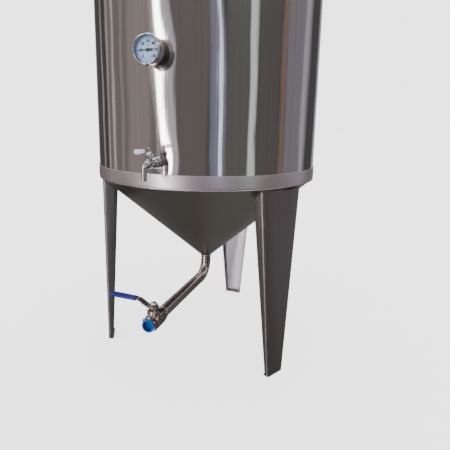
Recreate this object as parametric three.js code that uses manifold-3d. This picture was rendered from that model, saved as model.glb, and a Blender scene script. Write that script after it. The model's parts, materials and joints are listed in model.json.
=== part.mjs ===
// Conical fermenter of about 220 litres: a cylindrical stainless tank on three folded legs, with a
// cone bottom, a bottom drain with a ball valve, a sample tap, a dial thermometer, and a clamped
// lid with an airlock. Millimetres, +Z up. The front, where the drain points, is -Y.

import * as THREE from 'three';
import { mergeVertices } from 'three/addons/utils/BufferGeometryUtils.js';
import Module from 'manifold-3d';

const wasm = await Module();
wasm.setup();

// ---------------------------------------------------------------- driving dimensions

const GAP = 0.3;                  // clearance between touching pieces
const TANK_RADIUS = 300;          // outside of the shell
const WALL = 2;                   // sheet of the shell, cone and lid
const LEG_HEIGHT = 490;           // floor to the crease between cone and band
const CYLINDER_HEIGHT = 720;      // crease to the rim
const BAND_HEIGHT = 32;
const BAND_SHEET = 1.7;
const CONE_DEPTH = 247;
const AXIS_Y = 37;                // tank axis behind the middle of the footprint box

const LEG_SHEET = 3;
const LEG_WEB_TOP = 136;
const LEG_WEB_FOOT = 55;
const LEG_FLANGE_TOP = 31;
const LEG_FLANGE_FOOT = 11;
const LEG_RADIUS_TOP = 289;       // tank axis to the outside of the web, at the crease
const LEG_RADIUS_FOOT = 293;
const LEG_FOLD = 6;               // outside radius of the folds
const FOOT_SHEET = 4;
const LEG_ANGLES = { right: 60, left: -60, rear: 180 };

const PIPE_RADIUS = 14.5;         // 29 mm tube
const PIPE_WALL = 1.5;
const ELBOW_RADIUS = 43.5;        // centreline
const DRAIN_DROP = 305;           // crease to the drain's centreline
const PIPE_END = 280;             // distances along the drain from the tank axis
const BODY_REAR = 294;
const STEM_AT = 321;
const BODY_FRONT = 346;
const PORT_RADIUS = 10;
const VALVE_BODY_RADIUS = 19.5;
const VALVE_HEX = 34;             // across flats, at the outlet
const TAIL_HEX = 32;              // across flats, at the weld end
const BALL_RADIUS = 14.5;
const STEM_RADIUS = 5;
const NECK_TOP = 26;              // heights above the drain's centreline
const LEVER_LOW = 33;
const LEVER_HIGH = 45;
const LEVER_SHEET = 3;
const LEVER_REACH = 116;
const LEVER_WIDTH = 14;           // inside the sleeve
const LEVER_CRANK_WIDTH = 17;     // along the crank
const LEVER_EYE = 12;             // radius of the lever's round end at the stem
const LEVER_CORNER = 6;           // corner radius at the far end
const RAMP_START = 15;            // where the lever cranks up, from the stem
const RAMP_END = 38;
const SLEEVE_START = 44;
const SLEEVE_WIDTH = 19;
const SLEEVE_HEIGHT = 7;
const SLEEVE_CORNER = 3.2;
const GLAND_HEX = 19;
const LOCK_HEX = 15;
const LOCK_HEIGHT = 10;
const CAP_RADIUS = 14.6;

const TAP_HEIGHT = 57;            // above the crease
const TAP_RADIUS = 9;
const TAP_STEM_AT = 333;
const TAP_SPOUT_AT = 353;
const TAP_SPOUT_RADIUS = 6.3;
const TAP_BORE = 4;
const TAP_SPOUT_DROP = 33;
const TAP_BEND = 9;
const TAP_COLLAR = 11;
const TAP_STEM = 3;
const TAP_ARM_Z = 30;
const TAP_ARM_SHEET = 3.5;
const TAP_ARM_WIDTH = 7;
const TAP_ARM_END = 34;
const TAP_GRIP_START = 22;
const TAP_GRIP_END = 50;
const TAP_GRIP_WIDTH = 12;
const TAP_GRIP_HEIGHT = 10;
const TAP_BONNET_HEX = 17;
const TAP_NUT_HEX = 9;

const DIAL_HEIGHT = 288.5;        // above the crease
const DIAL_FRONT = 340.5;
const BEZEL_RADIUS = 31.5;
const CASE_BACK = 312;
const SOCKET_LENGTH = 4;           // weld socket beyond the shell
const WASHER_SHEET = 1.7;
const THERMO_HEX = 22;            // across flats
const DIAL_FACE = 329;
const PROBE_DEPTH = 80;           // length of the probe inside the tank
const PROBE_RADIUS = 4;
const PROBE_WALL = 0.8;
const SPINDLE_RADIUS = 0.7;
const NEEDLE_FIT = 0.05;          // clearance of the needle's press fit

const RIM_BEAD = 6;               // how far the rolled rim stands out
const GASKET_HEIGHT = 3;
const DOME_HEIGHT = 48;
const DOME_EDGE = 286;            // radius where the dome meets the lid's flat rim
const RING_SHEET = 2;
const RING_SPLIT = 9;             // half the gap between the ring's ends
const AIRLOCK_Y = 120;            // behind the tank axis
const HANDLE_X = 150;
const HANDLE_SPAN = 110;
const HANDLE_RISE = 38;
const HANDLE_CORNER = 16;
const HANDLE_ROD = 5;
const THROUGH = 60;               // length of tools that cut right through a piece

const AROUND_TANK = 60;           // facets around the tank
const AROUND_PART = 20;           // facets around fittings
const AROUND_DIAL = 28;
const AROUND_STEM = 12;           // facets around stems, pins and small bores

const CREASE_Z = LEG_HEIGHT;
const RIM_Z = CREASE_Z + CYLINDER_HEIGHT;
const FLANGE_Z = RIM_Z + GAP + GASKET_HEIGHT + GAP;
const RIM_RADIUS = TANK_RADIUS + RIM_BEAD;
const CONE_SLOPE = CONE_DEPTH / (TANK_RADIUS - PIPE_RADIUS);

// ---------------------------------------------------------------- materials

function metal(colour, roughness) {
  return new THREE.MeshStandardMaterial({ color: colour, roughness, metalness: 1 });
}

function plastic(colour, roughness) {
  return new THREE.MeshStandardMaterial({ color: colour, roughness, metalness: 0 });
}

const polished = () => metal(0xb9b2b0, 0.15);
const satin = () => metal(0xa59a9a, 0.4);
const brushedDark = () => metal(0x6a625c, 0.45);
const castSteel = () => metal(0x6e625c, 0.35);
const chrome = () => metal(0xc8c8cc, 0.08);
const blueVinyl = () => plastic(0x1b2a86, 0.35);
const bluePlastic = () => plastic(0x0d66b8, 0.4);
const whitePlastic = () => plastic(0xdcdae6, 0.4);
const silicone = () => plastic(0xd9d6d0, 0.6);
const fluoropolymer = () => plastic(0xf0efea, 0.5);
const clearPlastic = () => {
  const material = plastic(0xeaf2f4, 0.1);
  material.transparent = true;
  material.opacity = 0.4;
  return material;
};

// ---------------------------------------------------------------- solids

// A closed three.js geometry as a manifold solid, whichever way its faces point.
function solid(geometry) {
  const bare = geometry.clone();
  bare.deleteAttribute('normal');
  bare.deleteAttribute('uv');
  const merged = mergeVertices(bare, 1e-4);
  const corners = merged.index.array;
  const kept = [];
  for (let i = 0; i < corners.length; i += 3) {
    const [a, b, c] = [corners[i], corners[i + 1], corners[i + 2]];
    if (a !== b && b !== c && c !== a) kept.push(a, b, c);
  }
  const make = (triangles) => new wasm.Manifold(new wasm.Mesh({
    numProp: 3,
    vertProperties: new Float32Array(merged.attributes.position.array),
    triVerts: new Uint32Array(triangles),
  }));
  const first = make(kept);
  if (first.volume() > 0) return first;
  const flipped = [];
  for (let i = 0; i < kept.length; i += 3) flipped.push(kept[i], kept[i + 2], kept[i + 1]);
  return make(flipped);
}

function geometryOf(shape) {
  const mesh = shape.getMesh();
  const geometry = new THREE.BufferGeometry();
  const corners = new Float32Array(mesh.numVert * 3);
  for (let i = 0; i < mesh.numVert; i += 1) {
    for (let k = 0; k < 3; k += 1) corners[3 * i + k] = mesh.vertProperties[mesh.numProp * i + k];
  }
  geometry.setAttribute('position', new THREE.BufferAttribute(corners, 3));
  geometry.setIndex(new THREE.BufferAttribute(new Uint32Array(mesh.triVerts), 1));
  geometry.computeVertexNormals();
  return geometry;
}

function addMesh(group, name, shape, material) {
  const mesh = new THREE.Mesh(geometryOf(shape), material);
  mesh.name = name;
  group.add(mesh);
  return mesh;
}

const degrees = (angle) => THREE.MathUtils.degToRad(angle);

// Points on an arc, as [across, along] pairs.
function arc(across, along, radius, from, to, steps) {
  const points = [];
  for (let i = 0; i <= steps; i += 1) {
    const angle = degrees(from + ((to - from) * i) / steps);
    points.push([across + radius * Math.cos(angle), along + radius * Math.sin(angle)]);
  }
  return points;
}

// A closed outline of [radius, along] pairs, turned about the along axis.
function lathe(outline, facets) {
  const points = outline.map(([radius, along]) => new THREE.Vector2(radius, along));
  const onAxis = points[0].x === 0 && points[points.length - 1].x === 0;
  if (!onAxis) points.push(points[0].clone());
  return new THREE.LatheGeometry(points, facets);
}

const upright = (outline, facets = AROUND_PART) => solid(lathe(outline, facets).rotateX(Math.PI / 2));
const outward = (outline, facets = AROUND_PART) => solid(lathe(outline, facets).rotateX(Math.PI));

function tubeOutline(inner, outer, from, to) {
  return [[inner, from], [outer, from], [outer, to], [inner, to]];
}

function rodOutline(radius, from, to) {
  return [[0, from], [radius, from], [radius, to], [0, to]];
}

const uprightTube = (inner, outer, from, to, facets) => upright(tubeOutline(inner, outer, from, to), facets);
const uprightRod = (radius, from, to, facets) => upright(rodOutline(radius, from, to), facets);
const outwardTube = (inner, outer, from, to, facets) => outward(tubeOutline(inner, outer, from, to), facets);
const outwardRod = (radius, from, to, facets) => outward(rodOutline(radius, from, to), facets);

function box(width, depth, height, x, y, z) {
  return solid(new THREE.BoxGeometry(width, depth, height).translate(x, y, z));
}

function shapeOf(outline) {
  return new THREE.Shape(outline.map(([x, y]) => new THREE.Vector2(x, y)));
}

// A flat outline in XY, extruded upwards.
function slab(outline, from, to, curveSegments = 6) {
  const shape = outline instanceof THREE.Shape ? outline : shapeOf(outline);
  const options = { depth: to - from, bevelEnabled: false, curveSegments };
  return solid(new THREE.ExtrudeGeometry(shape, options).translate(0, 0, from));
}

// A flat outline of [x, z] pairs, extruded along Y.
function panel(outline, from, to) {
  const options = { depth: to - from, bevelEnabled: false };
  const geometry = new THREE.ExtrudeGeometry(shapeOf(outline), options);
  return solid(geometry.rotateX(Math.PI / 2).translate(0, to, 0));
}

function hexagon(acrossFlats) {
  const corner = acrossFlats / Math.sqrt(3);
  return arc(0, 0, corner, 0, 300, 5);
}

function roundedRectangle(width, height, radius, steps = 3) {
  const x = width / 2 - radius;
  const y = height / 2 - radius;
  return [
    ...arc(x, y, radius, 0, 90, steps),
    ...arc(-x, y, radius, 90, 180, steps),
    ...arc(-x, -y, radius, 180, 270, steps),
    ...arc(x, -y, radius, 270, 360, steps),
  ];
}

// A curve given by a function of its parameter.
class Route extends THREE.Curve {
  constructor(pointAt) {
    super();
    this.pointAt = pointAt;
  }

  getPoint(t, target = new THREE.Vector3()) {
    return target.copy(this.pointAt(t));
  }
}

// Handle length of a cubic curve that follows a quarter circle.
const QUARTER = 0.5523;

// Straight runs between the points, with a round bend at each inner one.
function bentPath(points, radius) {
  const path = new THREE.CurvePath();
  let from = points[0];
  for (let i = 1; i < points.length - 1; i += 1) {
    const corner = points[i];
    const back = points[i - 1].clone().sub(corner).normalize();
    const ahead = points[i + 1].clone().sub(corner).normalize();
    const on = (direction, reach) => corner.clone().addScaledVector(direction, reach);
    const handle = radius * (1 - QUARTER);
    path.add(new THREE.LineCurve3(from, on(back, radius)));
    const end = on(ahead, radius);
    path.add(new THREE.CubicBezierCurve3(on(back, radius), on(back, handle), on(ahead, handle), end));
    from = end;
  }
  path.add(new THREE.LineCurve3(from, points[points.length - 1]));
  return path;
}

function along(curve, outline, steps) {
  const options = { steps, extrudePath: curve, bevelEnabled: false };
  return solid(new THREE.ExtrudeGeometry(shapeOf(outline), options));
}

const circle = (radius, sides) => arc(0, 0, radius, 0, 360 * (1 - 1 / sides), sides - 1);

// ---------------------------------------------------------------- tank

const fermenter = new THREE.Group();
const tank = new THREE.Group();
tank.position.set(0, AXIS_Y, 0);
fermenter.add(tank);

const BOSS_HOLE = 8;
const THERMO_HOLE = 8.5;

function buildShell() {
  const bead = arc(TANK_RADIUS + RIM_BEAD / 2, RIM_Z - RIM_BEAD / 2, RIM_BEAD / 2, -90, 90, 4);
  const outline = [
    [TANK_RADIUS - WALL, CREASE_Z],
    [TANK_RADIUS, CREASE_Z],
    [TANK_RADIUS, RIM_Z - RIM_BEAD],
    ...bead,
    [TANK_RADIUS - WALL, RIM_Z],
  ];
  const hole = (radius, height) => outwardRod(radius, TANK_RADIUS - THROUGH, TANK_RADIUS + THROUGH)
    .translate([0, 0, CREASE_Z + height]);
  const sheet = upright(outline, AROUND_TANK);
  const drilled = sheet.subtract(hole(BOSS_HOLE, TAP_HEIGHT)).subtract(hole(THERMO_HOLE, DIAL_HEIGHT));
  addMesh(tank, 'shell', drilled, polished());
}

function buildBand() {
  const inner = TANK_RADIUS + GAP;
  const ring = uprightTube(inner, inner + BAND_SHEET, CREASE_Z, CREASE_Z + BAND_HEIGHT, AROUND_TANK);
  addMesh(tank, 'lower_band', ring, satin());
}

// Height of the cone's outside at a radius.
const coneZ = (radius) => CREASE_Z - GAP - (TANK_RADIUS - radius) * CONE_SLOPE;

function buildCone() {
  const top = CREASE_Z - GAP;
  const edge = TANK_RADIUS + BAND_SHEET;
  const thickness = WALL / Math.cos(Math.atan(CONE_SLOPE));
  const outlet = PIPE_RADIUS + 0.5;
  const outline = [
    [edge, top],
    [TANK_RADIUS, coneZ(TANK_RADIUS) - WALL / 2],
    [outlet, coneZ(outlet) - WALL / 2],
    [outlet - WALL, coneZ(outlet) - WALL / 2],
    [outlet - WALL, coneZ(outlet - WALL) + thickness],
    [TANK_RADIUS - 2 * WALL, top],
  ];
  addMesh(tank, 'cone_bottom', upright(outline, AROUND_TANK), brushedDark());
}

const LEG_SPARE = 60;             // how far the uncut channel runs past its ends
const FOOT_LIP = 4;               // how far a foot plate stands out under the flanges
const WIDE = 400;                 // size of the tools that trim the legs

// A folded channel: web outward, flanges towards the tank axis, cut to the cone.
function buildLegs() {
  const length = LEG_HEIGHT;
  const lean = Math.atan((LEG_WEB_TOP - LEG_WEB_FOOT) / 2 / length);
  const splay = Math.atan((LEG_RADIUS_FOOT - LEG_RADIUS_TOP) / length);
  const flangeTaper = Math.atan((LEG_FLANGE_TOP - LEG_FLANGE_FOOT) / length);
  const reach = LEG_FLANGE_TOP + LEG_SPARE;
  const fold = arc(-LEG_FOLD, -LEG_FOLD, LEG_FOLD, 0, 90, 3);
  const innerFold = arc(-LEG_FOLD, -LEG_FOLD, LEG_FOLD - LEG_SHEET, 90, 0, 3);
  const halfSection = [
    ...fold,
    [-LEG_WEB_TOP, 0],
    [-LEG_WEB_TOP, -LEG_SHEET],
    ...innerFold,
    [-LEG_SHEET, -reach],
    [0, -reach],
  ];
  const half = slab(halfSection, -LEG_SPARE, length + LEG_SPARE)
    .rotate([0, THREE.MathUtils.radToDeg(lean), 0])
    .translate([LEG_WEB_FOOT / 2, 0, 0])
    .trimByPlane([1, 0, 0], 0);
  const inner = box(WIDE, WIDE, 3 * length, 0, -WIDE / 2, 0)
    .rotate([THREE.MathUtils.radToDeg(flangeTaper), 0, 0])
    .translate([0, -LEG_FLANGE_FOOT, 0]);
  const channel = half.add(half.mirror([1, 0, 0])).subtract(inner)
    .rotate([THREE.MathUtils.radToDeg(splay), 0, 0])
    .translate([0, LEG_RADIUS_FOOT, 0]);
  const beyond = TANK_RADIUS + LEG_SPARE;
  const above = upright([
    [0, coneZ(0) - WALL],
    [beyond, coneZ(beyond) - WALL],
    [beyond, CREASE_Z + WIDE],
    [0, CREASE_Z + WIDE],
  ], AROUND_TANK);
  const below = box(WIDE, WIDE, WIDE, 0, LEG_RADIUS_FOOT, FOOT_SHEET + GAP - WIDE / 2);
  const leg = channel.subtract(below);
  const edge = LEG_WEB_FOOT / 2;
  const footDepth = LEG_FLANGE_FOOT + FOOT_LIP;
  const footOutline = [
    ...arc(edge - LEG_FOLD, -LEG_FOLD, LEG_FOLD, 0, 90, 3),
    ...arc(-edge + LEG_FOLD, -LEG_FOLD, LEG_FOLD, 90, 180, 3),
    [-edge, -footDepth],
    [edge, -footDepth],
  ];
  const foot = slab(footOutline, 0, FOOT_SHEET).translate([0, LEG_RADIUS_FOOT, 0]);
  for (const [side, angle] of Object.entries(LEG_ANGLES)) {
    const turned = leg.rotate([0, 0, 180 + angle]).subtract(above);
    addMesh(tank, `leg_${side}`, turned, brushedDark());
    addMesh(tank, `foot_${side}`, foot.rotate([0, 0, 180 + angle]), brushedDark());
  }
}

// ---------------------------------------------------------------- drain and ball valve

const drain = new THREE.Group();
drain.position.set(0, 0, CREASE_Z - DRAIN_DROP);
tank.add(drain);

const TUBE_SIDES = 16;
const BEND_STEPS = 11;
const ELBOW_TAIL = 4;             // straight end of the elbow
const PIPE_BORE = PIPE_RADIUS - PIPE_WALL;

function buildDrainPipe() {
  const outletZ = coneZ(PIPE_RADIUS + 0.5) - WALL / 2 - GAP - drain.position.z;
  const elbowEnd = ELBOW_RADIUS + ELBOW_TAIL;
  const bend = (spare) => bentPath([
    new THREE.Vector3(0, 0, outletZ + spare),
    new THREE.Vector3(0, 0, 0),
    new THREE.Vector3(0, -elbowEnd - spare, 0),
  ], ELBOW_RADIUS);
  const whole = along(bend(0), circle(PIPE_RADIUS, TUBE_SIDES), BEND_STEPS);
  const hollow = along(bend(PIPE_WALL), circle(PIPE_BORE, TUBE_SIDES), BEND_STEPS);
  addMesh(drain, 'drain_elbow', whole.subtract(hollow), satin());
  const straight = outwardTube(PIPE_BORE, PIPE_RADIUS, elbowEnd + GAP, PIPE_END, TUBE_SIDES);
  addMesh(drain, 'drain_pipe', straight, satin());
}

const SPIGOT_RADIUS = 15.6;       // thread that joins the tail to the body
const NECK_RADIUS = 12;
const PACKING_RADIUS = 7.9;
const PACKING_DEPTH = 6;
const CAP_WALL = 2;               // depth of the outlet's thread
const SEAT_REAR = STEM_AT - BALL_RADIUS - 1.5;
const SEAT_FRONT = STEM_AT + BALL_RADIUS + 1.5;

function hexPrism(acrossFlats, from, to) {
  return slab(hexagon(acrossFlats), from, to).rotate([90, 0, 0]);
}

function buildValveBody() {
  const weldEnd = PIPE_END + GAP;
  const collar = outward([
    [PORT_RADIUS, weldEnd],
    [PIPE_RADIUS, weldEnd],
    [TAIL_HEX / 2, weldEnd + 4],
    [TAIL_HEX / 2, BODY_REAR - GAP],
    [SPIGOT_RADIUS, BODY_REAR - GAP],
    [SPIGOT_RADIUS, SEAT_REAR - GAP],
    [PORT_RADIUS, SEAT_REAR - GAP],
  ]);
  const nut = hexPrism(TAIL_HEX, weldEnd + 6, BODY_REAR - GAP);
  const through = outwardRod(PORT_RADIUS, weldEnd - THROUGH, BODY_REAR + THROUGH);
  addMesh(drain, 'valve_tail', collar.add(nut).subtract(through), castSteel());

  const barrel = outward([
    [0, BODY_REAR],
    [VALVE_BODY_RADIUS - 2, BODY_REAR],
    [VALVE_BODY_RADIUS, BODY_REAR + 3],
    [VALVE_BODY_RADIUS, STEM_AT + 10],
    [VALVE_HEX / 2, STEM_AT + 15],
    [VALVE_HEX / 2, BODY_FRONT],
    [0, BODY_FRONT],
  ]);
  const frontHex = hexPrism(VALVE_HEX, STEM_AT + 14, BODY_FRONT);
  const neck = upright([
    [0, 0],
    [NECK_RADIUS, 0],
    [NECK_RADIUS, VALVE_BODY_RADIUS + 1],
    [NECK_RADIUS - 1.5, VALVE_BODY_RADIUS + 3],
    [NECK_RADIUS - 1.5, NECK_TOP],
    [0, NECK_TOP],
  ]).translate([0, -STEM_AT, 0]);
  const cavity = outward([
    [0, BODY_REAR - 1],
    [SPIGOT_RADIUS + GAP, BODY_REAR - 1],
    [SPIGOT_RADIUS + GAP, SEAT_FRONT],
    [PORT_RADIUS, SEAT_FRONT],
    [PORT_RADIUS, SEAT_FRONT + 1],
    [CAP_RADIUS - CAP_WALL, SEAT_FRONT + 1],
    [CAP_RADIUS - CAP_WALL, BODY_FRONT + 1],
    [0, BODY_FRONT + 1],
  ]);
  const stemHole = uprightRod(STEM_RADIUS + GAP, 0, NECK_TOP + 1).translate([0, -STEM_AT, 0]);
  const packingPocket = uprightRod(PACKING_RADIUS + GAP, NECK_TOP - PACKING_DEPTH, NECK_TOP + 1)
    .translate([0, -STEM_AT, 0]);
  const hollow = cavity.add(stemHole).add(packingPocket);
  addMesh(drain, 'valve_body', barrel.add(frontHex).add(neck).subtract(hollow), castSteel());
}

const STEM_TOP = LEVER_LOW + 13;
const STEM_FLATS = 8;             // across the flats that carry the lever
const TANG_WIDTH = 4;
const TANG_HEIGHT = 6;
const SEAT_REACH = 8;             // from the stem's axis to the seats' inner ends
const PACKING_TOP = NECK_TOP - 2.5;

const atStem = (shape) => shape.translate([0, -STEM_AT, 0]);

function buildValveInside() {
  const sphere = (radius) => solid(new THREE.SphereGeometry(radius, 16, 10));
  const bore = solid(new THREE.CylinderGeometry(PORT_RADIUS, PORT_RADIUS, THROUGH, AROUND_PART)
    .rotateZ(Math.PI / 2));
  const slot = box(THROUGH, TANG_WIDTH + 2 * GAP, TANG_HEIGHT, 0, 0, BALL_RADIUS - 1);
  addMesh(drain, 'valve_ball', atStem(sphere(BALL_RADIUS).subtract(bore).subtract(slot)), chrome());

  const clearBall = atStem(sphere(BALL_RADIUS + GAP));
  const seat = (from, to) => outwardTube(PORT_RADIUS, SPIGOT_RADIUS - GAP, from, to).subtract(clearBall);
  addMesh(drain, 'valve_seat_rear', seat(SEAT_REAR, STEM_AT - SEAT_REACH), fluoropolymer());
  addMesh(drain, 'valve_seat_front', seat(STEM_AT + SEAT_REACH, SEAT_FRONT - GAP), fluoropolymer());

  const shaft = uprightRod(STEM_RADIUS, BALL_RADIUS + GAP, STEM_TOP);
  const shoulder = LEVER_LOW - 1;
  const flats = box(THROUGH, STEM_FLATS, THROUGH, 0, 0, shoulder + THROUGH / 2);
  const round = box(THROUGH, THROUGH, THROUGH, 0, 0, shoulder - THROUGH / 2);
  const tang = box(2 * STEM_RADIUS - 2, TANG_WIDTH, TANG_HEIGHT, 0, 0, BALL_RADIUS - 0.5);
  addMesh(drain, 'valve_stem', atStem(shaft.intersect(flats.add(round)).add(tang)), chrome());

  const packingFoot = NECK_TOP - PACKING_DEPTH + GAP;
  const packing = uprightTube(STEM_RADIUS + GAP, PACKING_RADIUS, packingFoot, PACKING_TOP);
  addMesh(drain, 'valve_packing', atStem(packing), fluoropolymer());
  const spigot = uprightRod(PACKING_RADIUS, PACKING_TOP + GAP, NECK_TOP + 2);
  const glandHex = slab(hexagon(GLAND_HEX), NECK_TOP + GAP, LEVER_LOW - GAP);
  const glandHole = uprightRod(STEM_RADIUS + GAP, 0, THROUGH);
  addMesh(drain, 'valve_gland_nut', atStem(spigot.add(glandHex).subtract(glandHole)), castSteel());
}

function buildValveLever() {
  const tip = 2 - LEVER_REACH;
  const side = [
    [LEVER_EYE, LEVER_LOW],
    [LEVER_EYE, LEVER_LOW + LEVER_SHEET],
    [-RAMP_START, LEVER_LOW + LEVER_SHEET],
    [-RAMP_END, LEVER_HIGH + LEVER_SHEET],
    [tip, LEVER_HIGH + LEVER_SHEET],
    [tip, LEVER_HIGH],
    [-RAMP_END, LEVER_HIGH],
    [-RAMP_START, LEVER_LOW],
  ];
  const half = LEVER_WIDTH / 2;
  const crankHalf = LEVER_CRANK_WIDTH / 2;
  const plan = [
    ...arc(0, 0, LEVER_EYE, -120, 120, 10),
    [-RAMP_START, crankHalf],
    [-RAMP_END, crankHalf],
    [-SLEEVE_START, half],
    ...arc(tip + LEVER_CORNER, half - LEVER_CORNER, LEVER_CORNER, 90, 180, 4),
    ...arc(tip + LEVER_CORNER, LEVER_CORNER - half, LEVER_CORNER, 180, 270, 4),
    [-SLEEVE_START, -half],
    [-RAMP_END, -crankHalf],
    [-RAMP_START, -crankHalf],
  ];
  const squareHole = box(THROUGH, STEM_FLATS + 2 * GAP, 2 * THROUGH, 0, 0, 0);
  const hole = uprightRod(STEM_RADIUS + GAP, 0, THROUGH).intersect(squareHole);
  const strip = panel(side, -LEVER_EYE, LEVER_EYE).intersect(slab(plan, 0, THROUGH));
  addMesh(drain, 'valve_lever', atStem(strip.subtract(hole)), satin());

  const middle = LEVER_HIGH + LEVER_SHEET / 2;
  const section = roundedRectangle(SLEEVE_WIDTH, SLEEVE_HEIGHT, SLEEVE_CORNER);
  const grip = slab(section, SLEEVE_START, LEVER_REACH + 2)
    .rotate([0, 0, 90])
    .rotate([0, -90, 0])
    .translate([0, 0, middle]);
  const pocket = box(LEVER_REACH, LEVER_WIDTH + 2 * GAP, LEVER_SHEET + 2 * GAP, 0, 0, middle)
    .translate([2 - GAP - LEVER_REACH / 2, 0, 0]);
  addMesh(drain, 'valve_lever_sleeve', atStem(grip.subtract(pocket)), blueVinyl());

  const nutFrom = LEVER_LOW + LEVER_SHEET + GAP;
  const nutTop = nutFrom + LOCK_HEIGHT;
  const dome = upright([
    [0, nutFrom],
    [LOCK_HEX, nutFrom],
    [LOCK_HEX / 2 + 1.2, nutTop - 4],
    [LOCK_HEX / 2 - 1.5, nutTop],
    [0, nutTop],
  ]);
  const nut = slab(hexagon(LOCK_HEX), nutFrom, nutTop).intersect(dome)
    .subtract(uprightRod(STEM_RADIUS + GAP, 0, THROUGH));
  addMesh(drain, 'valve_lever_nut', atStem(nut), chrome());
}

function buildThreadCap() {
  const plugRadius = CAP_RADIUS - CAP_WALL - GAP;
  const outline = [
    [0, SEAT_FRONT + 2],
    [plugRadius - 0.6, SEAT_FRONT + 2],
    [plugRadius, BODY_FRONT + GAP],
    [CAP_RADIUS, BODY_FRONT + GAP],
    [CAP_RADIUS, BODY_FRONT + 5],
    [CAP_RADIUS - 1, BODY_FRONT + 6],
    [plugRadius - 1.2, BODY_FRONT + 6],
    [plugRadius - 2, SEAT_FRONT + 4],
    [0, SEAT_FRONT + 4],
  ];
  addMesh(drain, 'thread_cap', outward(outline), bluePlastic());
}

// ---------------------------------------------------------------- sample tap

const tap = new THREE.Group();
tap.position.set(0, 0, CREASE_Z + TAP_HEIGHT);
tank.add(tap);

const TAP_SEAT = TANK_RADIUS + 9;
const WELD_BOSS_RADIUS = 12;
const nearShell = uprightRod(TANK_RADIUS + GAP, -THROUGH, THROUGH, AROUND_TANK);

function buildTapBody() {
  const boss = outwardTube(BOSS_HOLE, WELD_BOSS_RADIUS, TANK_RADIUS - 5, TAP_SEAT).subtract(nearShell);
  addMesh(tap, 'tap_boss', boss, satin());

  const shank = BOSS_HOLE - GAP;
  const collar = TAP_SEAT + GAP;
  const barrel = outward([
    [0, TANK_RADIUS - 12],
    [shank, TANK_RADIUS - 12],
    [shank, collar],
    [TAP_COLLAR, collar],
    [TAP_COLLAR, collar + 6],
    [TAP_RADIUS, collar + 7],
    [TAP_RADIUS, TAP_STEM_AT + 10],
    [TAP_RADIUS - 2, TAP_STEM_AT + 12],
    [0, TAP_STEM_AT + 12],
  ]);
  const spoutPath = (start, spare) => bentPath([
    new THREE.Vector3(0, -start, 0),
    new THREE.Vector3(0, -TAP_SPOUT_AT, 0),
    new THREE.Vector3(0, -TAP_SPOUT_AT, -TAP_SPOUT_DROP - spare),
  ], TAP_BEND);
  const spout = along(spoutPath(TAP_STEM_AT + 8, 0), circle(TAP_SPOUT_RADIUS, AROUND_STEM), 9);
  const bore = along(spoutPath(TANK_RADIUS - 20, TAP_BORE), circle(TAP_BORE, AROUND_STEM), 24);
  const neck = uprightRod(7.5, 0, 12).translate([0, -TAP_STEM_AT, 0]);
  const rotorRoom = uprightRod(6.3, -6.3, 13).translate([0, -TAP_STEM_AT, 0]);
  const body = barrel.add(spout).add(neck).subtract(rotorRoom).subtract(bore);
  addMesh(tap, 'tap_body', body, chrome());
}

function buildTapHandle() {
  const place = (shape) => shape.translate([0, -TAP_STEM_AT, 0]);
  const stemHole = uprightRod(TAP_STEM + GAP, 0, THROUGH, AROUND_STEM);
  const crossBore = solid(new THREE.CylinderGeometry(TAP_BORE, TAP_BORE, THROUGH, AROUND_STEM)
    .rotateZ(Math.PI / 2));
  const rotor = upright([
    [0, -6],
    [6, -6],
    [6, 8],
    [TAP_STEM, 8],
    [TAP_STEM, TAP_ARM_Z + 6],
    [0, TAP_ARM_Z + 6],
  ], AROUND_STEM).subtract(crossBore);
  addMesh(tap, 'tap_rotor', place(rotor), chrome());
  const seal = uprightTube(TAP_STEM + GAP, 5.9, 8 + GAP, 11, AROUND_STEM);
  addMesh(tap, 'tap_seal', place(seal), fluoropolymer());
  const armFoot = TAP_ARM_Z - 2;
  const bonnetHex = slab(hexagon(TAP_BONNET_HEX), 12 + GAP, 21);
  const bonnetDome = upright([
    [0, 20],
    [7, 20],
    [7, 22],
    [5, armFoot - GAP],
    [0, armFoot - GAP],
  ], AROUND_STEM);
  addMesh(tap, 'tap_bonnet', place(bonnetHex.add(bonnetDome).subtract(stemHole)), chrome());

  const armTop = armFoot + TAP_ARM_SHEET;
  const armMiddle = armFoot + TAP_ARM_SHEET / 2;
  const eye = uprightRod(6, armFoot, armTop, AROUND_STEM);
  const blade = box(TAP_ARM_WIDTH, TAP_ARM_END, TAP_ARM_SHEET, 0, -TAP_ARM_END / 2, armMiddle);
  addMesh(tap, 'tap_lever', place(eye.add(blade).subtract(stemHole)), chrome());
  const nut = slab(hexagon(TAP_NUT_HEX), armTop + GAP, armTop + 4).subtract(stemHole);
  addMesh(tap, 'tap_lever_nut', place(nut), chrome());

  const grip = slab(roundedRectangle(TAP_GRIP_WIDTH, TAP_GRIP_HEIGHT, 4), TAP_GRIP_START, TAP_GRIP_END)
    .rotate([90, 0, 0])
    .translate([0, 0, armMiddle]);
  const pocketReach = 2 * (TAP_ARM_END + GAP);
  const pocket = box(TAP_ARM_WIDTH + 2 * GAP, pocketReach, TAP_ARM_SHEET + 2 * GAP, 0, 0, armMiddle);
  addMesh(tap, 'tap_lever_cover', place(grip.subtract(pocket)), whitePlastic());
}

// ---------------------------------------------------------------- thermometer

const thermometer = new THREE.Group();
thermometer.position.set(0, 0, CREASE_Z + DIAL_HEIGHT);
tank.add(thermometer);

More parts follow.
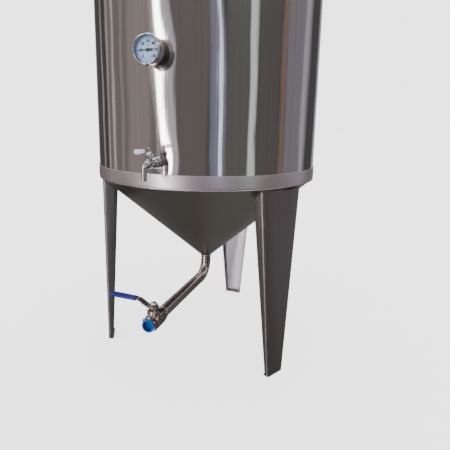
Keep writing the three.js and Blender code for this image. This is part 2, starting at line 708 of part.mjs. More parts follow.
function buildThermometer() {
  const socketEnd = TANK_RADIUS + SOCKET_LENGTH;
  const socket = outwardTube(THERMO_HOLE, 13, TANK_RADIUS - 5, socketEnd).subtract(nearShell);
  addMesh(thermometer, 'thermometer_socket', socket, satin());
  const washer = outwardTube(THERMO_HOLE, THERMO_HEX / 2, socketEnd + GAP, socketEnd + GAP + WASHER_SHEET);
  addMesh(thermometer, 'thermometer_washer', washer, fluoropolymer());

  const shank = THERMO_HOLE - GAP;
  const hexFrom = socketEnd + WASHER_SHEET + 2 * GAP;
  const tip = TANK_RADIUS - PROBE_DEPTH;
  const core = outward([
    [0, tip],
    [PROBE_RADIUS - 1, tip],
    [PROBE_RADIUS, tip + 1.5],
    [PROBE_RADIUS, TANK_RADIUS - 6],
    [shank, TANK_RADIUS - 6],
    [shank, hexFrom],
    [9, hexFrom],
    [9, CASE_BACK - GAP],
    [0, CASE_BACK - GAP],
  ]);
  const nut = hexPrism(THERMO_HEX, hexFrom, CASE_BACK - GAP);
  const bore = outwardRod(PROBE_RADIUS - PROBE_WALL, tip + 2, CASE_BACK + 1);
  addMesh(thermometer, 'thermometer_probe', core.add(nut).subtract(bore), chrome());

  const caseRadius = BEZEL_RADIUS - 2.5;
  const caseFront = DIAL_FRONT - 4;
  const cup = [
    [2, CASE_BACK],
    [caseRadius - 3, CASE_BACK],
    [caseRadius, CASE_BACK + 3],
    [caseRadius, caseFront],
    [caseRadius - 1, caseFront],
    [caseRadius - 1, CASE_BACK + 4],
    [caseRadius - 3.5, CASE_BACK + 1.2],
    [2, CASE_BACK + 1.2],
  ];
  addMesh(thermometer, 'thermometer_case', outward(cup, AROUND_DIAL), chrome());
  const bezel = [
    [caseRadius + GAP, DIAL_FRONT - 10],
    [BEZEL_RADIUS - 0.8, DIAL_FRONT - 10],
    [BEZEL_RADIUS, DIAL_FRONT - 8],
    [BEZEL_RADIUS, DIAL_FRONT - 2],
    [BEZEL_RADIUS - 2, DIAL_FRONT],
    [caseRadius - 1.5, DIAL_FRONT],
    [caseRadius - 1.5, DIAL_FRONT - 1.2],
    [caseRadius + GAP, DIAL_FRONT - 1.2],
  ];
  addMesh(thermometer, 'thermometer_bezel', outward(bezel, AROUND_DIAL), chrome());
  const lens = outwardRod(caseRadius - 0.2, caseFront + GAP, DIAL_FRONT - 1.2 - GAP, AROUND_DIAL);
  addMesh(thermometer, 'thermometer_lens', lens, clearPlastic());

  const face = outwardTube(1.2, caseRadius - 1 - GAP, DIAL_FACE - 0.8, DIAL_FACE, AROUND_DIAL);
  addMesh(thermometer, 'thermometer_dial', face, plastic(0xb6c6e2, 0.5));
  const needlePlan = [
    [0.9, -8],
    [2.2, -6.5],
    [1.2, 0],
    [0.3, 22],
    [-0.3, 22],
    [-1.2, 0],
    [-2.2, -6.5],
    [-0.9, -8],
  ];
  const blade = slab(needlePlan, DIAL_FACE + 1.2, DIAL_FACE + 1.9);
  const hub = uprightRod(3, DIAL_FACE + 1, DIAL_FACE + 2.6, AROUND_STEM);
  const needleHole = uprightRod(SPINDLE_RADIUS + NEEDLE_FIT, 0, DIAL_FRONT, AROUND_STEM);
  const needle = blade.add(hub).subtract(needleHole);
  const facing = needle.rotate([90, 0, 0]).rotate([0, -90, 0]);
  addMesh(thermometer, 'thermometer_needle', facing, plastic(0x1a1a1c, 0.4));
  const spindle = outwardRod(SPINDLE_RADIUS, tip + 50, DIAL_FACE + 2.5, AROUND_STEM);
  addMesh(thermometer, 'thermometer_spindle', spindle, chrome());

  const turns = 5;
  const coilLength = 30;
  const helix = new Route((t) => {
    const angle = 2 * Math.PI * turns * t;
    return new THREE.Vector3(2.1 * Math.cos(angle), -(tip + 8 + coilLength * t), 2.1 * Math.sin(angle));
  });
  addMesh(thermometer, 'thermometer_coil', along(helix, circle(0.6, 4), 40), metal(0xb08d57, 0.4));
}

// ---------------------------------------------------------------- lid and airlock

const lidGroup = new THREE.Group();
lidGroup.position.set(0, 0, FLANGE_Z);
tank.add(lidGroup);

const LID_HOLE = 14;
const DOME_RADIUS = (DOME_EDGE ** 2 + DOME_HEIGHT ** 2) / (2 * DOME_HEIGHT);

// Height of the dome's outside above the flange's underside, at a distance from its centre.
const domeZ = (reach, thickness = WALL) => thickness + DOME_HEIGHT - DOME_RADIUS
  + Math.sqrt(DOME_RADIUS ** 2 - reach ** 2);

function buildLid() {
  const steps = 5;
  const outside = [];
  const inside = [];
  for (let i = 0; i <= steps; i += 1) {
    const reach = DOME_EDGE * (1 - i / steps);
    outside.push([reach, domeZ(reach)]);
    inside.unshift([reach, domeZ(reach, 0)]);
  }
  const outline = [...inside, [RIM_RADIUS, 0], [RIM_RADIUS, WALL], ...outside];
  const hole = uprightRod(LID_HOLE, 0, THROUGH).translate([0, AIRLOCK_Y, 0]);
  addMesh(lidGroup, 'lid', upright(outline, AROUND_TANK).subtract(hole), polished());

  const inner = TANK_RADIUS - WALL - 2;
  const gasket = uprightTube(inner, RIM_RADIUS - 1, -GAP - GASKET_HEIGHT, -GAP, AROUND_TANK);
  addMesh(lidGroup, 'lid_gasket', gasket, silicone());
}

function buildLidHandles() {
  const half = HANDLE_SPAN / 2;
  const foot = domeZ(Math.hypot(HANDLE_X, half));
  const domeOutside = [];
  for (let i = 0; i <= 12; i += 1) {
    const reach = DOME_EDGE * (1 - i / 12);
    domeOutside.push([reach, domeZ(reach) + 2 * GAP]);
  }
  const underDome = upright([[0, -THROUGH], [DOME_EDGE, -THROUGH], ...domeOutside], AROUND_TANK);
  for (const [side, x] of [['left', -HANDLE_X], ['right', HANDLE_X]]) {
    const path = bentPath([
      new THREE.Vector3(x, -half, foot - HANDLE_ROD),
      new THREE.Vector3(x, -half, foot + HANDLE_RISE),
      new THREE.Vector3(x, half, foot + HANDLE_RISE),
      new THREE.Vector3(x, half, foot - HANDLE_ROD),
    ], HANDLE_CORNER);
    const bow = along(path, circle(HANDLE_ROD, 8), 22);
    addMesh(lidGroup, `lid_handle_${side}`, bow.subtract(underDome), satin());
  }
}

const LUG_REACH = 12;             // how far the clamp's lugs stand out of the ring
const RING_OUTER = RIM_RADIUS + GAP + 0.5 + RING_SHEET;
const PIN_RADIUS = 2.5;
const LEVER_PIN_X = 18;
const PIN_OUT = RING_OUTER + 7;
const LINK_PIN_X = 31;
const LINK_PIN_OUT = RING_OUTER + 12;
const HOOK_X = -20;
const LUG_WIDTH = 14;
const LUG_HEIGHT = 12;
const CHEEK_GAP = LUG_HEIGHT / 2 + GAP;
const CHEEK_SHEET = 2;
const PEG_HALF = 10;
const LINK_HALF = 5;
const HANDLE_SHEET = 3;
const pinBore = (x, out) => uprightRod(PIN_RADIUS + GAP, -THROUGH, THROUGH, AROUND_STEM)
  .translate([x, -out, 0]);

function buildClampRing() {
  const low = -GASKET_HEIGHT - 2 * GAP - RIM_BEAD - GAP;
  const high = WALL + GAP;
  const inner = RING_OUTER - RING_SHEET;
  const grip = TANK_RADIUS + 1;
  const channel = upright([
    [grip, low - RING_SHEET],
    [RING_OUTER, low - RING_SHEET],
    [RING_OUTER, high + RING_SHEET],
    [DOME_EDGE + 6, high + RING_SHEET],
    [DOME_EDGE + 6, high],
    [inner, high],
    [inner, low],
    [grip, low],
  ], AROUND_TANK);
  const split = box(2 * RING_SPLIT, THROUGH, THROUGH, 0, -RING_OUTER, 0);
  const middle = (low + high) / 2;
  const lugDepth = LUG_REACH + 1;
  const lugY = lugDepth / 2 - RING_OUTER - LUG_REACH;
  const lug = (x) => box(LUG_WIDTH, lugDepth, LUG_HEIGHT, x, lugY, middle);
  const peg = uprightRod(PIN_RADIUS, middle - PEG_HALF, middle + PEG_HALF, AROUND_STEM)
    .translate([HOOK_X, -PIN_OUT, 0]);
  const lugs = lug(LEVER_PIN_X).subtract(pinBore(LEVER_PIN_X, PIN_OUT)).add(lug(HOOK_X)).add(peg);
  addMesh(lidGroup, 'clamp_ring', channel.subtract(split).add(lugs), satin());
  return middle;
}

// The lever's two cheeks straddle the right lug, and its handle follows the ring.
function buildClampLever(middle) {
  const cheekOutline = [
    ...arc(LEVER_PIN_X, -PIN_OUT, 6, 90, 230, 6),
    [LINK_PIN_X, -LINK_PIN_OUT - 5],
    [LINK_PIN_X + 18, -LINK_PIN_OUT - 3],
    [LINK_PIN_X + 18, -PIN_OUT + 4],
  ];
  const cheek = (from) => slab(cheekOutline, from, from + CHEEK_SHEET);
  const cheeks = cheek(middle + CHEEK_GAP).add(cheek(middle - CHEEK_GAP - CHEEK_SHEET));
  const handleRadius = RING_OUTER + LUG_REACH + 1;
  const from = Math.atan2(LINK_PIN_X + 13, handleRadius);
  const to = from + degrees(18);
  const curve = (radius, start, end) => {
    const points = [];
    for (let i = 0; i <= 6; i += 1) {
      const angle = start + ((end - start) * i) / 6;
      points.push([radius * Math.sin(angle), -radius * Math.cos(angle)]);
    }
    return points;
  };
  const handleOutline = [...curve(handleRadius, from, to), ...curve(handleRadius + HANDLE_SHEET, to, from)];
  const reach = CHEEK_GAP + CHEEK_SHEET;
  const handle = slab(handleOutline, middle - reach, middle + reach);
  const holes = pinBore(LEVER_PIN_X, PIN_OUT).add(pinBore(LINK_PIN_X, LINK_PIN_OUT));
  addMesh(lidGroup, 'clamp_lever', cheeks.add(handle).subtract(holes), satin());
  const pinHalf = reach + 1.5;
  const pin = (x, out) => uprightRod(PIN_RADIUS, middle - pinHalf, middle + pinHalf, AROUND_STEM)
    .translate([x, -out, 0]);
  addMesh(lidGroup, 'clamp_lever_pin', pin(LEVER_PIN_X, PIN_OUT), chrome());
  addMesh(lidGroup, 'clamp_link_pin', pin(LINK_PIN_X, LINK_PIN_OUT), chrome());
}

// The link lies outside the right lug, between the cheeks, and hooks over the left lug's peg.
function buildClampLink(middle) {
  const clear = RING_OUTER + LUG_REACH + 1;
  const outline = [
    ...arc(LINK_PIN_X, -LINK_PIN_OUT, 4.5, -90, 90, 5),
    [LEVER_PIN_X + 8, -clear],
    [HOOK_X + 6, -clear],
    [HOOK_X + 6, -LINK_PIN_OUT - 4.5],
  ];
  const bar = slab(outline, middle - LINK_HALF, middle + LINK_HALF);
  const hookPlan = [
    [HOOK_X + 7, -clear],
    [HOOK_X + 7, -LINK_PIN_OUT - 4.5],
    [HOOK_X - 6, -LINK_PIN_OUT - 4.5],
    [HOOK_X - 8, -PIN_OUT - 2],
    [HOOK_X - 8, -PIN_OUT + 3],
    [HOOK_X - 4, -PIN_OUT + 3],
    [HOOK_X - 4, -clear],
  ];
  const hookReach = PEG_HALF - 1;
  const hooks = slab(hookPlan, middle + CHEEK_GAP, middle + hookReach)
    .add(slab(hookPlan, middle - hookReach, middle - CHEEK_GAP));
  const bridge = box(6, 3.5, 2 * hookReach, HOOK_X + 4, -clear - 1.75, middle);
  const holes = pinBore(LINK_PIN_X, LINK_PIN_OUT).add(pinBore(HOOK_X, PIN_OUT));
  addMesh(lidGroup, 'clamp_link', bar.add(hooks).add(bridge).subtract(holes), satin());
}

function buildAirlock() {
  const seat = domeZ(AIRLOCK_Y);
  const place = (shape) => shape.translate([0, AIRLOCK_Y, 0]);
  const grommet = upright([
    [6.5, seat - 8],
    [17, seat - 8],
    [17, seat - 5.5],
    [13.5, seat - 5.5],
    [13.5, seat + 2.5],
    [17, seat + 2.5],
    [17, seat + 6],
    [6.5, seat + 6],
  ]);
  addMesh(lidGroup, 'airlock_grommet', place(grommet), silicone());
  const cupFloor = seat + 36;
  const cupTop = cupFloor + 62;
  const tubeTop = cupFloor + 38;
  const body = upright([
    [4.5, seat - 16],
    [6, seat - 16],
    [6, cupFloor - 4],
    [12, cupFloor],
    [23, cupFloor + 1],
    [25, cupTop],
    [23.5, cupTop],
    [21.5, cupFloor + 3],
    [6, cupFloor + 3],
    [5.5, tubeTop],
    [4, tubeTop],
    [4, cupFloor],
  ]);
  addMesh(lidGroup, 'airlock_body', place(body), clearPlastic());
  const floatFoot = cupFloor + 8;
  const float = upright([
    [0, tubeTop + GAP],
    [7.5, tubeTop + GAP],
    [9, floatFoot],
    [10.5, floatFoot],
    [9, tubeTop + 2],
    [0, tubeTop + 3],
  ]);
  addMesh(lidGroup, 'airlock_float', place(float), plastic(0xe8e6e0, 0.3));
  const cap = upright([
    [0, cupTop + GAP],
    [25.5, cupTop + GAP],
    [25.6, cupTop - 7],
    [27, cupTop - 7],
    [27, cupTop + 2.5],
    [4, cupTop + 4],
    [0, cupTop + 4],
  ]);
  addMesh(lidGroup, 'airlock_cap', place(cap), plastic(0xd8362c, 0.4));
}

// ---------------------------------------------------------------- assembly

buildShell();
buildBand();
buildCone();
buildLegs();
buildDrainPipe();
buildValveBody();
buildValveInside();
buildValveLever();
buildThreadCap();
buildTapBody();
buildTapHandle();
buildThermometer();
buildLid();
buildLidHandles();
const clampMiddle = buildClampRing();
buildClampLever(clampMiddle);
buildClampLink(clampMiddle);
buildAirlock();

export default fermenter;
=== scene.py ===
import json
import math

import bmesh
import bpy
from mathutils import Matrix, Vector, noise


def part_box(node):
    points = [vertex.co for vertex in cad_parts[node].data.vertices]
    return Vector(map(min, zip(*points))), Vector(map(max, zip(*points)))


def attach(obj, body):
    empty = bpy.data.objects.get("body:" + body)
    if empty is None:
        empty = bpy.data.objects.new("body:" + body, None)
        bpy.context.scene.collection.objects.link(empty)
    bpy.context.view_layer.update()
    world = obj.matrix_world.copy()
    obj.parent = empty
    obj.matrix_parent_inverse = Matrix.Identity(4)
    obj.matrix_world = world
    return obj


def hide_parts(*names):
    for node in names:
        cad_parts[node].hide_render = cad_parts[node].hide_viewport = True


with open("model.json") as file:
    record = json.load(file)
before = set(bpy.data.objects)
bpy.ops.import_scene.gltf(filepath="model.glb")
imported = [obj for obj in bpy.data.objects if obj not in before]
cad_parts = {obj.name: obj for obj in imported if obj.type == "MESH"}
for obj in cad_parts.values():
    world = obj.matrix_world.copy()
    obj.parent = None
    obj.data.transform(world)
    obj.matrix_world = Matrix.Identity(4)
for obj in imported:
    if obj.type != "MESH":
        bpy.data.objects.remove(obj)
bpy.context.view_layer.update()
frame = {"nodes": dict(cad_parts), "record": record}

# Conical fermenter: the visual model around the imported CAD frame. Lengths in this script are
# millimetres and turn into metres where a mesh is made. Front is -Y, up is +Z.
#
# Most pieces are turned. An outline is a list of (radius, along) points, with a third number where
# a corner is rounded, and it turns about the Z axis of a place. A solid's outline starts and ends on
# the axis. Any other is a ring's section, and closes on itself.

MM = 0.001


def low(node):
    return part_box(node)[0] / MM


def high(node):
    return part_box(node)[1] / MM


def middle(node):
    return (low(node) + high(node)) / 2


# ------------------------------------------------------------------ places, from the frame

AXIS_Y = middle("lower_band").y
CREASE_Z = low("lower_band").z
BAND_TOP = high("lower_band").z
RIM_Z = high("shell").z
TANK_RADIUS = 300.0
RIM_RADIUS = 306.0
BAND_RADIUS = high("lower_band").x
OUTLET_Z = low("cone_bottom").z
PIPE_RADIUS = high("drain_pipe").x
PIPE_Z = middle("drain_pipe").z
TAP_Z = middle("tap_boss").z
DIAL_Z = middle("thermometer_bezel").z
LID_Z = low("lid").z
STEM_Y = middle("valve_stem").y
STEM_OUT = AXIS_Y - STEM_Y
TAP_Y = middle("tap_rotor").y
TAP_OUT = AXIS_Y - TAP_Y
AIRLOCK_Y = middle("airlock_cap").y


def front_of(node):
    """How far a node's front stands from the tank axis, towards the front."""
    return AXIS_Y - low(node).y


def rear_of(node):
    """How far a node's rear stands from the tank axis, towards the front."""
    return AXIS_Y - high(node).y


def up_frame(x=0.0, y=AXIS_Y, z=0.0):
    """A place whose turning axis points up."""
    return Matrix.Translation((x, y, z))


def front_frame(z):
    """A place on the tank axis whose turning axis points to the front."""
    return up_frame(z=z) @ Matrix.Rotation(math.pi / 2, 4, "X")


# ------------------------------------------------------------------ mesh helpers

SHARP_ANGLE = math.radians(32)
FILLET_STEPS = 4


def add_object(name, data):
    obj = bpy.data.objects.new(name, data)
    bpy.context.scene.collection.objects.link(obj)
    return obj


def finish_mesh(name, bm, material, body, nodes=(), slot=None):
    """Turns a bmesh in millimetres into a smooth-shaded object that rides on a body."""
    bmesh.ops.remove_doubles(bm, verts=bm.verts, dist=1e-4)
    bmesh.ops.dissolve_degenerate(bm, dist=1e-4, edges=bm.edges)
    bmesh.ops.recalc_face_normals(bm, faces=bm.faces)
    for face in bm.faces:
        face.smooth = True
    for edge in bm.edges:
        if len(edge.link_faces) == 2:
            edge.smooth = edge.calc_face_angle(0) < SHARP_ANGLE
    mesh = bpy.data.meshes.new(name)
    bmesh.ops.scale(bm, vec=(MM, MM, MM), verts=bm.verts)
    bm.to_mesh(mesh)
    bm.free()
    mesh.materials.append(material)
    obj = add_object(name, mesh)
    slot = slot or slot_of(material)
    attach(obj, body)
    if nodes:
        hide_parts(*nodes)
    return obj


def rounded(outline):
    """Rounds each (radius, along, fillet) corner of an outline. Two-number corners stay sharp."""
    points = []
    for i, corner in enumerate(outline):
        here = Vector(corner[:2])
        fillet = corner[2] if len(corner) > 2 else 0
        if not fillet:
            points.append(tuple(here))
            continue
        before = Vector(outline[i - 1][:2]) - here
        after = Vector(outline[(i + 1) % len(outline)][:2]) - here
        half = before.angle(after) / 2
        reach = min(fillet / math.tan(half), before.length * 0.49, after.length * 0.49)
        start = here + before.normalized() * reach
        end = here + after.normalized() * reach
        for k in range(FILLET_STEPS + 1):
            t = k / FILLET_STEPS
            points.append(tuple(start * (1 - t) ** 2 + here * 2 * t * (1 - t) + end * t ** 2))
    return points


def stations(start, end, step):
    """Even stations from start to end, about a step apart."""
    count = max(2, int(round((end - start) / step)))
    return [start + (end - start) * i / count for i in range(count + 1)]


def around(angle, radius, along):
    """A point round a turning axis, the angle counted from the front."""
    return Vector((radius * math.sin(angle), -radius * math.cos(angle), along))


def whole_turn(count):
    return [2 * math.pi * k / count for k in range(count)]


def bridge(bm, here, there, closed=True):
    """Faces between two rows of vertices, which may share a vertex on the turning axis."""
    size = len(here)
    for i in range(size if closed else size - 1):
        j = (i + 1) % size
        corners = []
        for vert in (here[i], there[i], there[j], here[j]):
            if vert not in corners:
                corners.append(vert)
        if len(corners) > 2:
            bm.faces.new(corners)


def turn(bm, outline, place, segments=64, radius_at=None):
    """Adds a turned outline. radius_at(angle, radius, along) may reshape it."""
    outline = rounded(outline)
    ring = outline[0][0] > 0
    poles = {}
    rows = []
    for angle in whole_turn(segments):
        row = []
        for i, (radius, along) in enumerate(outline):
            if i in poles:
                row.append(poles[i])
                continue
            on_axis = abs(radius) < 1e-6
            if radius_at:
                radius = radius_at(angle, radius, along)
            row.append(bm.verts.new(place @ around(angle, radius, along)))
            if on_axis:
                poles[i] = row[-1]
        rows.append(row)
    for here, there in zip(rows, rows[1:] + rows[:1]):
        bridge(bm, here, there, ring)


def turned(name, outline, place, material, body, nodes=(), segments=64, radius_at=None):
    """A turned piece of its own."""
    bm = bmesh.new()
    turn(bm, outline, place, segments, radius_at)
    finish_mesh(name, bm, material, body, nodes)


def hexagonal(across_flats, offset=0.0):
    """A radius limit that cuts a turned outline down to a hexagon."""
    def limit(angle, radius, along):
        sector = (angle + offset) % (math.pi / 3) - math.pi / 6
        return min(radius, across_flats / 2 / math.cos(sector))
    return limit


def threaded(pitch, depth, start, end):
    """A radius limit that cuts a helical thread into a turned outline between two stations."""
    def limit(angle, radius, along):
        if not start < along < end or radius < depth * 2:
            return radius
        phase = (along / pitch - angle / (2 * math.pi)) % 1
        return radius - depth * abs(2 * phase - 1)
    return limit


def frames_along(points):
    """Parallel-transported frames along a list of points."""
    padded = points[:1] + points + points[-1:]
    side = (points[1] - points[0]).orthogonal()
    result = []
    for before, after in zip(padded, padded[2:]):
        tangent = (after - before).normalized()
        side = (side - tangent * side.dot(tangent)).normalized()
        result.append((side, tangent.cross(side)))
    return result


def sweep(bm, points, sections, frames=None, closed_ends=True):
    """Joins a ring of (u, v) section points at each path point."""
    rows = []
    for point, (u, v), section in zip(points, frames or frames_along(points), sections):
        rows.append([bm.verts.new(point + u * a + v * b) for a, b in section])
    for here, there in zip(rows, rows[1:]):
        bridge(bm, here, there)
    if closed_ends:
        bm.faces.new(rows[0])
        bm.faces.new(rows[-1])
    return rows


def ring_section(radius, sides):
    return [(radius * math.cos(a), radius * math.sin(a)) for a in whole_turn(sides)]


def straight_run(start, end, step):
    """Points on a straight line, its two ends among them."""
    length = (end - start).length
    return [start.lerp(end, t) for t in stations(0, 1, step * 2 / max(length, step * 2))]


def bent_points(corners, radius, step):
    """Points on straight runs between corners, with a round bend at each inner corner."""
    points = []
    start = corners[0]
    for before, corner, after in zip(corners, corners[1:], corners[2:]):
        back = (before - corner).normalized()
        ahead = (after - corner).normalized()
        half = back.angle(ahead) / 2
        first = corner + back * radius / math.tan(half)
        centre = corner + (back + ahead).normalized() * (radius / math.sin(half))
        points += straight_run(start, first, step)[:-1]
        start = corner + ahead * radius / math.tan(half)
        bend = math.pi - 2 * half
        turns = max(6, int(radius * bend / step))
        normal = (first - centre).cross(start - centre).normalized()
        for k in range(turns):
            points.append(centre + Matrix.Rotation(bend * k / turns, 3, normal) @ (first - centre))
    return points + straight_run(start, corners[-1], step)


def tube(name, points, radius, material, nodes=(), wall=1.5, sides=48):
    """A hollow round tube along a line of points."""
    bm = bmesh.new()
    outer, inner = [sweep(bm, points, [ring_section(size, sides)] * len(points), closed_ends=False)
                    for size in (radius, radius - wall)]
    for end in (0, -1):
        bridge(bm, outer[end], inner[end])
    return finish_mesh(name, bm, material, "tank", nodes)


def weld_bead(bm, place, radius, along, thickness, segments, seed, ripple=0.3):
    """A weld bead round a turned seam, with the small ripples of a hand-held torch."""
    ripples = max(12, int(2 * math.pi * radius / (thickness * 1.1)))
    rows = []
    for angle in whole_turn(segments):
        wobble = noise.noise(Vector((math.cos(angle) * 9, math.sin(angle) * 9, seed)))
        size = thickness / 2 * (1 + 0.12 * wobble + ripple * 0.3 * math.cos(ripples * angle))
        rows.append([bm.verts.new(place @ around(angle, radius + r, along + z))
                     for r, z in ring_section(size, 8)])
    for here, there in zip(rows, rows[1:] + rows[:1]):
        bridge(bm, here, there)


def plate(bm, plan, lower, upper, place=Matrix.Identity(4)):
    """A flat outline of (x, y) points, raised from lower to upper."""
    rows = [[bm.verts.new(place @ Vector((x, y, z))) for x, y in plan] for z in (lower, upper)]
    bridge(bm, *rows)
    for row in rows:
        bm.faces.new(row)


def apply_modifiers(obj):
    graph = bpy.context.evaluated_depsgraph_get()
    mesh = bpy.data.meshes.new_from_object(obj.evaluated_get(graph))
    old = obj.data
    name = old.name
    obj.modifiers.clear()
    obj.data = mesh
    bpy.data.meshes.remove(old)
    mesh.name = name


def soften(obj, width, segments=3):
    """Small rounded edges, applied."""
    bevel = obj.modifiers.new("edges", "BEVEL")
    bevel.width = width * MM
    bevel.segments = segments
    bevel.limit_method = "ANGLE"
    bevel.angle_limit = SHARP_ANGLE
    bevel.harden_normals = True
    apply_modifiers(obj)


def refined(name, node, material, body, width, segments=3):
    """A copy of a flat-sided CAD node with its facets joined and its edges rounded."""
    bm = bmesh.new()
    bm.from_mesh(frame["nodes"][node].data)
    bmesh.ops.scale(bm, vec=(1 / MM,) * 3, verts=bm.verts)
    bmesh.ops.remove_doubles(bm, verts=bm.verts, dist=1e-3)
    bmesh.ops.dissolve_limit(bm, angle_limit=math.radians(1), verts=bm.verts, edges=bm.edges)
    soften(finish_mesh(name, bm, material, body, (node,)), width, segments)


def voxel_blend(obj, voxel, smooth_rounds):
    """Joins overlapping closed parts into one skin with the soft corners of a casting."""
    remesh = obj.modifiers.new("skin", "REMESH")
    remesh.mode = "VOXEL"
    remesh.voxel_size = voxel * MM
    remesh.use_smooth_shade = True
    smooth = obj.modifiers.new("soft", "SMOOTH")
    smooth.factor = 0.5
    smooth.iterations = smooth_rounds
    apply_modifiers(obj)
    for polygon in obj.data.polygons:
        polygon.use_smooth = True


# ------------------------------------------------------------------ materials

class Nodes:
    """Short calls that add nodes to a tree and join them."""

    def __init__(self, tree):
        self.tree = tree

    def feed(self, socket, value):
        """Joins another node's output to a socket, or sets the socket to a value."""
        if isinstance(value, bpy.types.NodeSocket):
            self.tree.links.new(value, socket)
        else:
            socket.default_value = value

    def add(self, kind, *inputs, **values):
        """Adds a node. Capitalised values go to the sockets of that name, and the rest are settings."""
        node = self.tree.nodes.new("ShaderNode" + kind)
        sockets = {key: values.pop(key) for key in list(values) if key[0].isupper()}
        for key, value in values.items():
            setattr(node, key, value)
        for socket, value in zip(node.inputs, inputs):
            self.feed(socket, value)
        for key, value in sockets.items():
            self.feed(node.inputs[key.replace("_", " ")], value)
        return node

    def maths(self, operation, *values):
        return self.add("Math", *values, operation=operation).outputs[0]

    def vector(self, operation, *values, **sockets):
        return self.add("VectorMath", *values, operation=operation, **sockets).outputs[0]

    def spread(self, source, low_out, high_out, low_in=0.0, high_in=1.0, **settings):
        """Maps a range of a value to another range."""
        return self.add("MapRange", Value=source, From_Min=low_in, From_Max=high_in,
                        To_Min=low_out, To_Max=high_out, **settings).outputs["Result"]


class Shader(Nodes):
    """A Principled material and short calls for the nodes that feed it."""

    def __init__(self, name, **values):
        self.material = bpy.data.materials.new(name)
        self.material.use_nodes = True
        super().__init__(self.material.node_tree)
        self.bsdf = self.tree.nodes["Principled BSDF"]
        self.plain = self.add("TexCoord").outputs["Object"]
        for key, value in values.items():
            self.use(key.replace("_", " "), value)

    def use(self, key, value):
        self.feed(self.bsdf.inputs[key], value)

    def polar(self, across, upwards):
        """Coordinates that follow a sheet round the tank's axis: round it, and up it."""
        parts = self.add("SeparateXYZ", self.vector("SUBTRACT", self.plain, (0, AXIS_Y * MM, 0)))
        flat = self.add("CombineXYZ", X=parts.outputs["X"], Y=parts.outputs["Y"]).outputs[0]
        wide = self.add("SeparateXYZ", self.vector("SCALE", self.vector("NORMALIZE", flat), Scale=across))
        rise = self.maths("MULTIPLY", parts.outputs["Z"], upwards)
        return self.add("CombineXYZ", wide.outputs["X"], wide.outputs["Y"], rise).outputs[0]

    def noise(self, vector, scale, detail=3.0, rough=0.55):
        return self.add("TexNoise", Vector=vector, Scale=scale, Detail=detail,
                        Roughness=rough).outputs["Fac"]

    def mix(self, factor, first, second):
        colours = [(*c, 1) if isinstance(c, tuple) else c for c in (first, second)]
        return self.add("Mix", data_type="RGBA", Factor=factor, A=colours[0],
                        B=colours[1]).outputs["Result"]

    def bump(self, height, strength, distance, previous=None):
        below = {} if previous is None else {"Normal": previous}
        return self.add("Bump", Height=height, Strength=strength, Distance=distance,
                        **below).outputs["Normal"]

    def edges(self):
        """Bright where an edge is worn: the pointiness of the mesh."""
        return self.spread(self.add("NewGeometry").outputs["Pointiness"], 0.0, 1.0, 0.52, 0.6)

    def hollows(self):
        """Bright in the hollows of the mesh: the mask for painted shade."""
        return self.spread(self.add("NewGeometry").outputs["Pointiness"], 1.0, 0.0, 0.4, 0.485)

    def round_tank(self):
        """Turns the grain round the tank's axis."""
        self.use("Tangent", self.add("Tangent", direction_type="RADIAL", axis="Z").outputs[0])

    def roughen(self, roughness, *spreads):
        """Roughness round a value, with the spreads added to it."""
        total = spreads[0]
        for extra in (*spreads[1:], roughness):
            total = self.maths("ADD", total, extra)
        self.use("Roughness", total)


def tint(colour, *by):
    """A colour times another, or times one number, and no brighter than white."""
    return tuple(min(1.0, c * k) for c, k in zip(colour, by * 3))


def brushed(name, colour, roughness, across, upwards, strength=0.1, anisotropic=0.5, turn_grain=0.0):
    """Stainless sheet brushed along one direction round the tank, with faint handling marks."""
    s = Shader(name, Metallic=1.0, Anisotropic=anisotropic, Anisotropic_Rotation=turn_grain)
    s.round_tank()
    grain = s.noise(s.polar(across, upwards), 1.0, 4.0, 0.7)
    patches = s.noise(s.plain, 5.0)
    darker = tint(colour, 0.88)
    streaked = s.mix(s.spread(grain, 0, 1, 0.3, 0.7), darker, colour)
    s.use("Base Color", s.mix(s.spread(patches, 0, 0.5, 0.4, 0.75), streaked, darker))
    s.roughen(roughness, s.spread(grain, -0.04, 0.05), s.spread(patches, -0.03, 0.05))
    s.use("Normal", s.bump(grain, strength, 0.0002))
    return s.material


def mirror_sheet(name, colour, roughness):
    """Bright annealed sheet: near mirror, with fine upright lines and a slow waviness in the metal."""
    s = Shader(name, Metallic=1.0, Anisotropic=0.85, Anisotropic_Rotation=0.25)
    s.round_tank()
    fine = s.noise(s.polar(260, 1.2), 1.0, 5.0, 0.75)
    lines = s.noise(s.polar(46, 0.35), 1.0, 3.0, 0.6)
    dents = s.noise(s.polar(1.6, 3.0), 1.0, 2.0, 0.45)
    marks = s.noise(s.polar(60, 30), 1.0, 4.0, 0.6)
    tinted = tint(colour, 0.93, 0.91, 0.9)
    toned = s.mix(s.spread(lines, 0, 1, 0.35, 0.65), tinted, colour)
    s.use("Base Color", s.mix(s.spread(marks, 0, 0.3, 0.6, 0.8), toned, tinted))
    s.roughen(roughness, s.spread(fine, -0.02, 0.03), s.spread(marks, -0.01, 0.02))
    drawn = s.bump(lines, 0.12, 0.0008, s.bump(dents, 0.35, 0.012))
    s.use("Normal", s.bump(fine, 0.06, 0.0002, drawn))
    return s.material


def cast_metal(name, colour, roughness, grain=900.0, strength=0.25):
    """Investment-cast stainless: fine blasted skin, browner in random stains, bright on worn edges."""
    s = Shader(name, Metallic=1.0)
    stains = s.noise(s.plain, 60.0, 4.0, 0.6)
    base = s.mix(s.spread(stains, 0, 1, 0.35, 0.7), colour, tint(colour, 0.62, 0.56, 0.5))
    s.use("Base Color", s.mix(s.edges(), base, tint(colour, 1.35)))
    s.roughen(roughness, s.spread(stains, -0.08, 0.1))
    s.use("Normal", s.bump(s.noise(s.plain, grain, 3.0, 0.6), strength, 0.0003))
    return s.material


